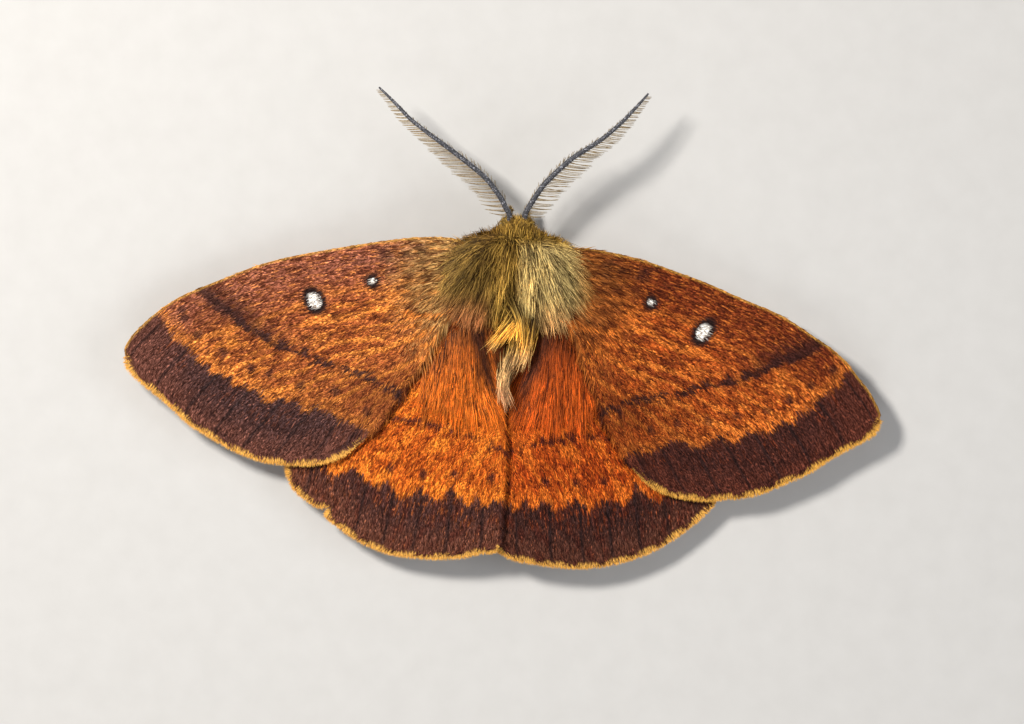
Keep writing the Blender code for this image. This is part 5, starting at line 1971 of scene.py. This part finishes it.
def make_fore_right() -> Wing:
    """The right forewing, swept a little further back."""
    return Wing(
        kind="forewing", side=Side.RIGHT, far=FAR_FORE, lift=0.88, finish=FORE_RIGHT_FINISH,
        slot="rust_scales",
        costa=[
            (1.7, -2.2), (3, -3.1), (4, -3.45), (6, -3.3), (8, -2.95), (10, -2.4), (12, -1.8),
            (14, -1.05), (16, -0.35), (17, 0.05), (18, 0.6), (19, 1.2), (20, 1.8), (21, 2.6),
            (22, 3.7), (22.6, 4.4), (23, 5), (23.4, 5.8), (23.55, 6.2),
        ],
        margin=[
            (23.55, 6.2), (23.3, 6.9), (23, 7.25), (22, 7.9), (21, 8.5), (20, 9.2), (19, 9.9),
            (18, 10.4), (17, 10.9), (16, 11.35), (15, 11.6), (14, 11.75), (13, 11.9), (12, 11.9),
            (11, 11.8), (10, 11.55), (9, 11.1), (8.3, 10.6), (7.9, 10.2),
        ],
        inner=[
            (1.7, 0.7), (3.2, 1.2), (4.2, 2.4), (4.8, 4), (5.2, 5), (5.7, 6), (6, 7), (6.5, 7.9),
            (7, 8.7), (7.5, 9.5), (7.9, 10.2),
        ],
        border=[
            (22.5, 1.8), (21, 3.2), (20.8, 3.8), (20.2, 4.5), (19.3, 4.9), (19.1, 5.6), (18.2, 5.9),
            (17.9, 6.6), (16.8, 6.7), (16.3, 7.4), (15.2, 7.2), (14.6, 7.7), (14.4, 8.1), (13.2, 7.7),
            (12.7, 8.2), (12, 8.5), (10.9, 8), (10.3, 8.2), (9.2, 8.9), (8.2, 8.8), (7, 9.6),
        ],
        line=[
            (20, 1.2), (18.5, 2.2), (17.5, 2.6), (16.5, 3), (15.5, 3.6), (14, 4.2), (13, 4.5),
            (12, 4.75), (11, 5.1), (10, 5.3), (9, 5.5), (8, 5.7), (7.3, 6), (6.5, 6.3), (6, 6.6),
            (5.2, 7.2),
        ],
        dots=[
            (20.2, 3.1), (18.9, 4.2), (17.6, 5.2), (16.2, 5.9), (14.4, 6.4), (12.6, 6.8), (10.7, 7),
            (9, 7.5),
        ],
        spots=[(11.95, 1.25, 0.58, 0.36, 123), (8.55, -0.38, 0.2, 0.2, 0)],
    )


def make_hind_left() -> Wing:
    """The left hindwing, with a nick in its margin."""
    return Wing(
        kind="hindwing", side=Side.LEFT, far=FAR_HIND, lift=HIND_LIFT, finish=HIND_LEFT_FINISH,
        slot="flame_scales", rows=130, columns=110,
        costa=[(1.7, -0.3), (5.5, 0.4), (9.5, 3), (12.6, 6.3), (14, 10.4)],
        margin=[
            (14, 10.4), (13.8, 11.2), (13.5, 12), (13, 12.8), (12, 13.5), (11.3, 13.8),
            (10.95, 13.75), (11.05, 14.2), (10.6, 14.6), (10, 15), (9, 15.6), (8, 16.05), (7, 16.35),
            (6, 16.5), (5, 16.55), (4, 16.55), (3, 16.45), (2, 16.3), (1, 16), (0.2, 15.9),
            (-0.1, 15.4),
        ],
        inner=[
            (1.7, 1.6), (1.6, 3), (1, 4.5), (0.45, 5.9), (0.1, 7.6), (-0.15, 10), (-0.18, 13),
            (-0.15, 15), (-0.1, 15.4),
        ],
        border=[
            (14.5, 8.5), (12, 10.4), (10.4, 11.6), (9.3, 10.9), (8, 12.1), (7.2, 11.6), (6.1, 12.8),
            (5.1, 11.9), (4.1, 12.7), (3.1, 11.9), (2, 12.9), (1.7, 12.2), (1.1, 12.9), (0.4, 12.3),
            (-1, 12.6),
        ],
        line=[
            (9.5, 7.6), (7.6, 7.7), (6.3, 7.8), (5, 7.9), (4, 8.05), (3, 8.2), (2, 8.5), (1, 8.9),
            (0.2, 9.3), (-0.8, 9.8),
        ],
        dots=[(7, 10.85), (4.9, 11.1), (3, 11), (0.7, 11.05)],
    )


def make_hind_right() -> Wing:
    """The right hindwing."""
    return Wing(
        kind="hindwing", side=Side.RIGHT, far=FAR_HIND, lift=HIND_LIFT, finish=HIND_RIGHT_FINISH,
        slot="flame_scales", rows=130, columns=110,
        costa=[(1.7, -0.3), (5.5, 0.4), (9.5, 3), (12.6, 6.3), (14, 10.3)],
        margin=[
            (14, 10.3), (13.5, 11.9), (13, 12.6), (12, 13.6), (11, 14.4), (10, 15.1), (9, 15.6),
            (8, 16), (7, 16.3), (6, 16.5), (5, 16.6), (4, 16.6), (3, 16.55), (2, 16.45), (1, 16.3),
            (0.1, 15.95), (-0.2, 15.7),
        ],
        inner=[
            (1.7, 1.6), (1.6, 3), (1, 4.5), (0.45, 5.9), (0, 7.6), (-0.25, 10), (-0.3, 13),
            (-0.25, 15), (-0.2, 15.7),
        ],
        border=[
            (14.5, 8.5), (11.5, 10.6), (9.8, 12), (8.3, 11), (7.8, 12.3), (6.4, 11.9), (5.6, 12.8),
            (4.7, 12), (3.4, 12.9), (2.7, 12.1), (2, 12.8), (1.5, 12.2), (1, 13), (0.3, 12.4),
            (-1, 12.6),
        ],
        line=[
            (9.5, 8), (7.6, 8.1), (6, 8.2), (4, 8.2), (3, 8.5), (2, 8.8), (1, 9.1), (0.3, 9.5),
            (-0.8, 9.9),
        ],
        dots=[(0.3, 11.3), (2.7, 11.1), (4.6, 11.1), (6.3, 10.9)],
    )


ANTENNA_PATHS = {
    Side.LEFT: [
        (0.45, -4.55, 3.7), (0.55, -5.3, 3.85), (0.8, -5.7, 3.95), (1.15, -6.3, 4.05),
        (2.1, -7.4, 4.3), (3.5, -8.45, 4.5), (5, -9.45, 4.6), (6, -10.1, 4.6), (7, -10.8, 4.5),
        (7.6, -11.35, 4.45), (8.3, -12, 4.35), (9.1, -12.7, 4.2),
    ],
    Side.RIGHT: [
        (0.38, -4.6, 3.7), (0.45, -5.4, 3.9), (0.8, -6.1, 4), (1.2, -6.8, 4.15), (1.7, -7.5, 4.3),
        (3, -8.85, 4.5), (4, -9.6, 4.6), (5, -10.35, 4.6), (6, -11.3, 4.5), (6.6, -12, 4.4),
        (7.1, -12.6, 4.3), (7.65, -13.3, 4.2),
    ],
}


def main() -> None:
    """Builds the whole moth and its studio."""
    logging.basicConfig(level=logging.INFO, format="%(name)s %(message)s")
    hindwings = [make_hind_left(), make_hind_right()]
    for wing in (make_fore_left(), make_fore_right(), *hindwings):
        wing.build()
    fur = Fur(CoatFinish("body_fur"))
    Body().build()
    coat = ThoraxCoat(fur)
    for side in Side:
        coat.half(side)
        Eye(side).build()
    coat.tuft()
    short = ShortCoat(fur)
    short.head()
    short.under()
    short.legs()
    wing_hair = Fur(CoatFinish("wing_hair", root_shade=0.55, tip_shade=1.2))
    for wing in hindwings:
        HindHair(wing, wing_hair).build()
    for side in Side:
        Antenna(side, ANTENNA_PATHS[side]).build()
    Studio().build()


if __name__ == "__main__":
    main()
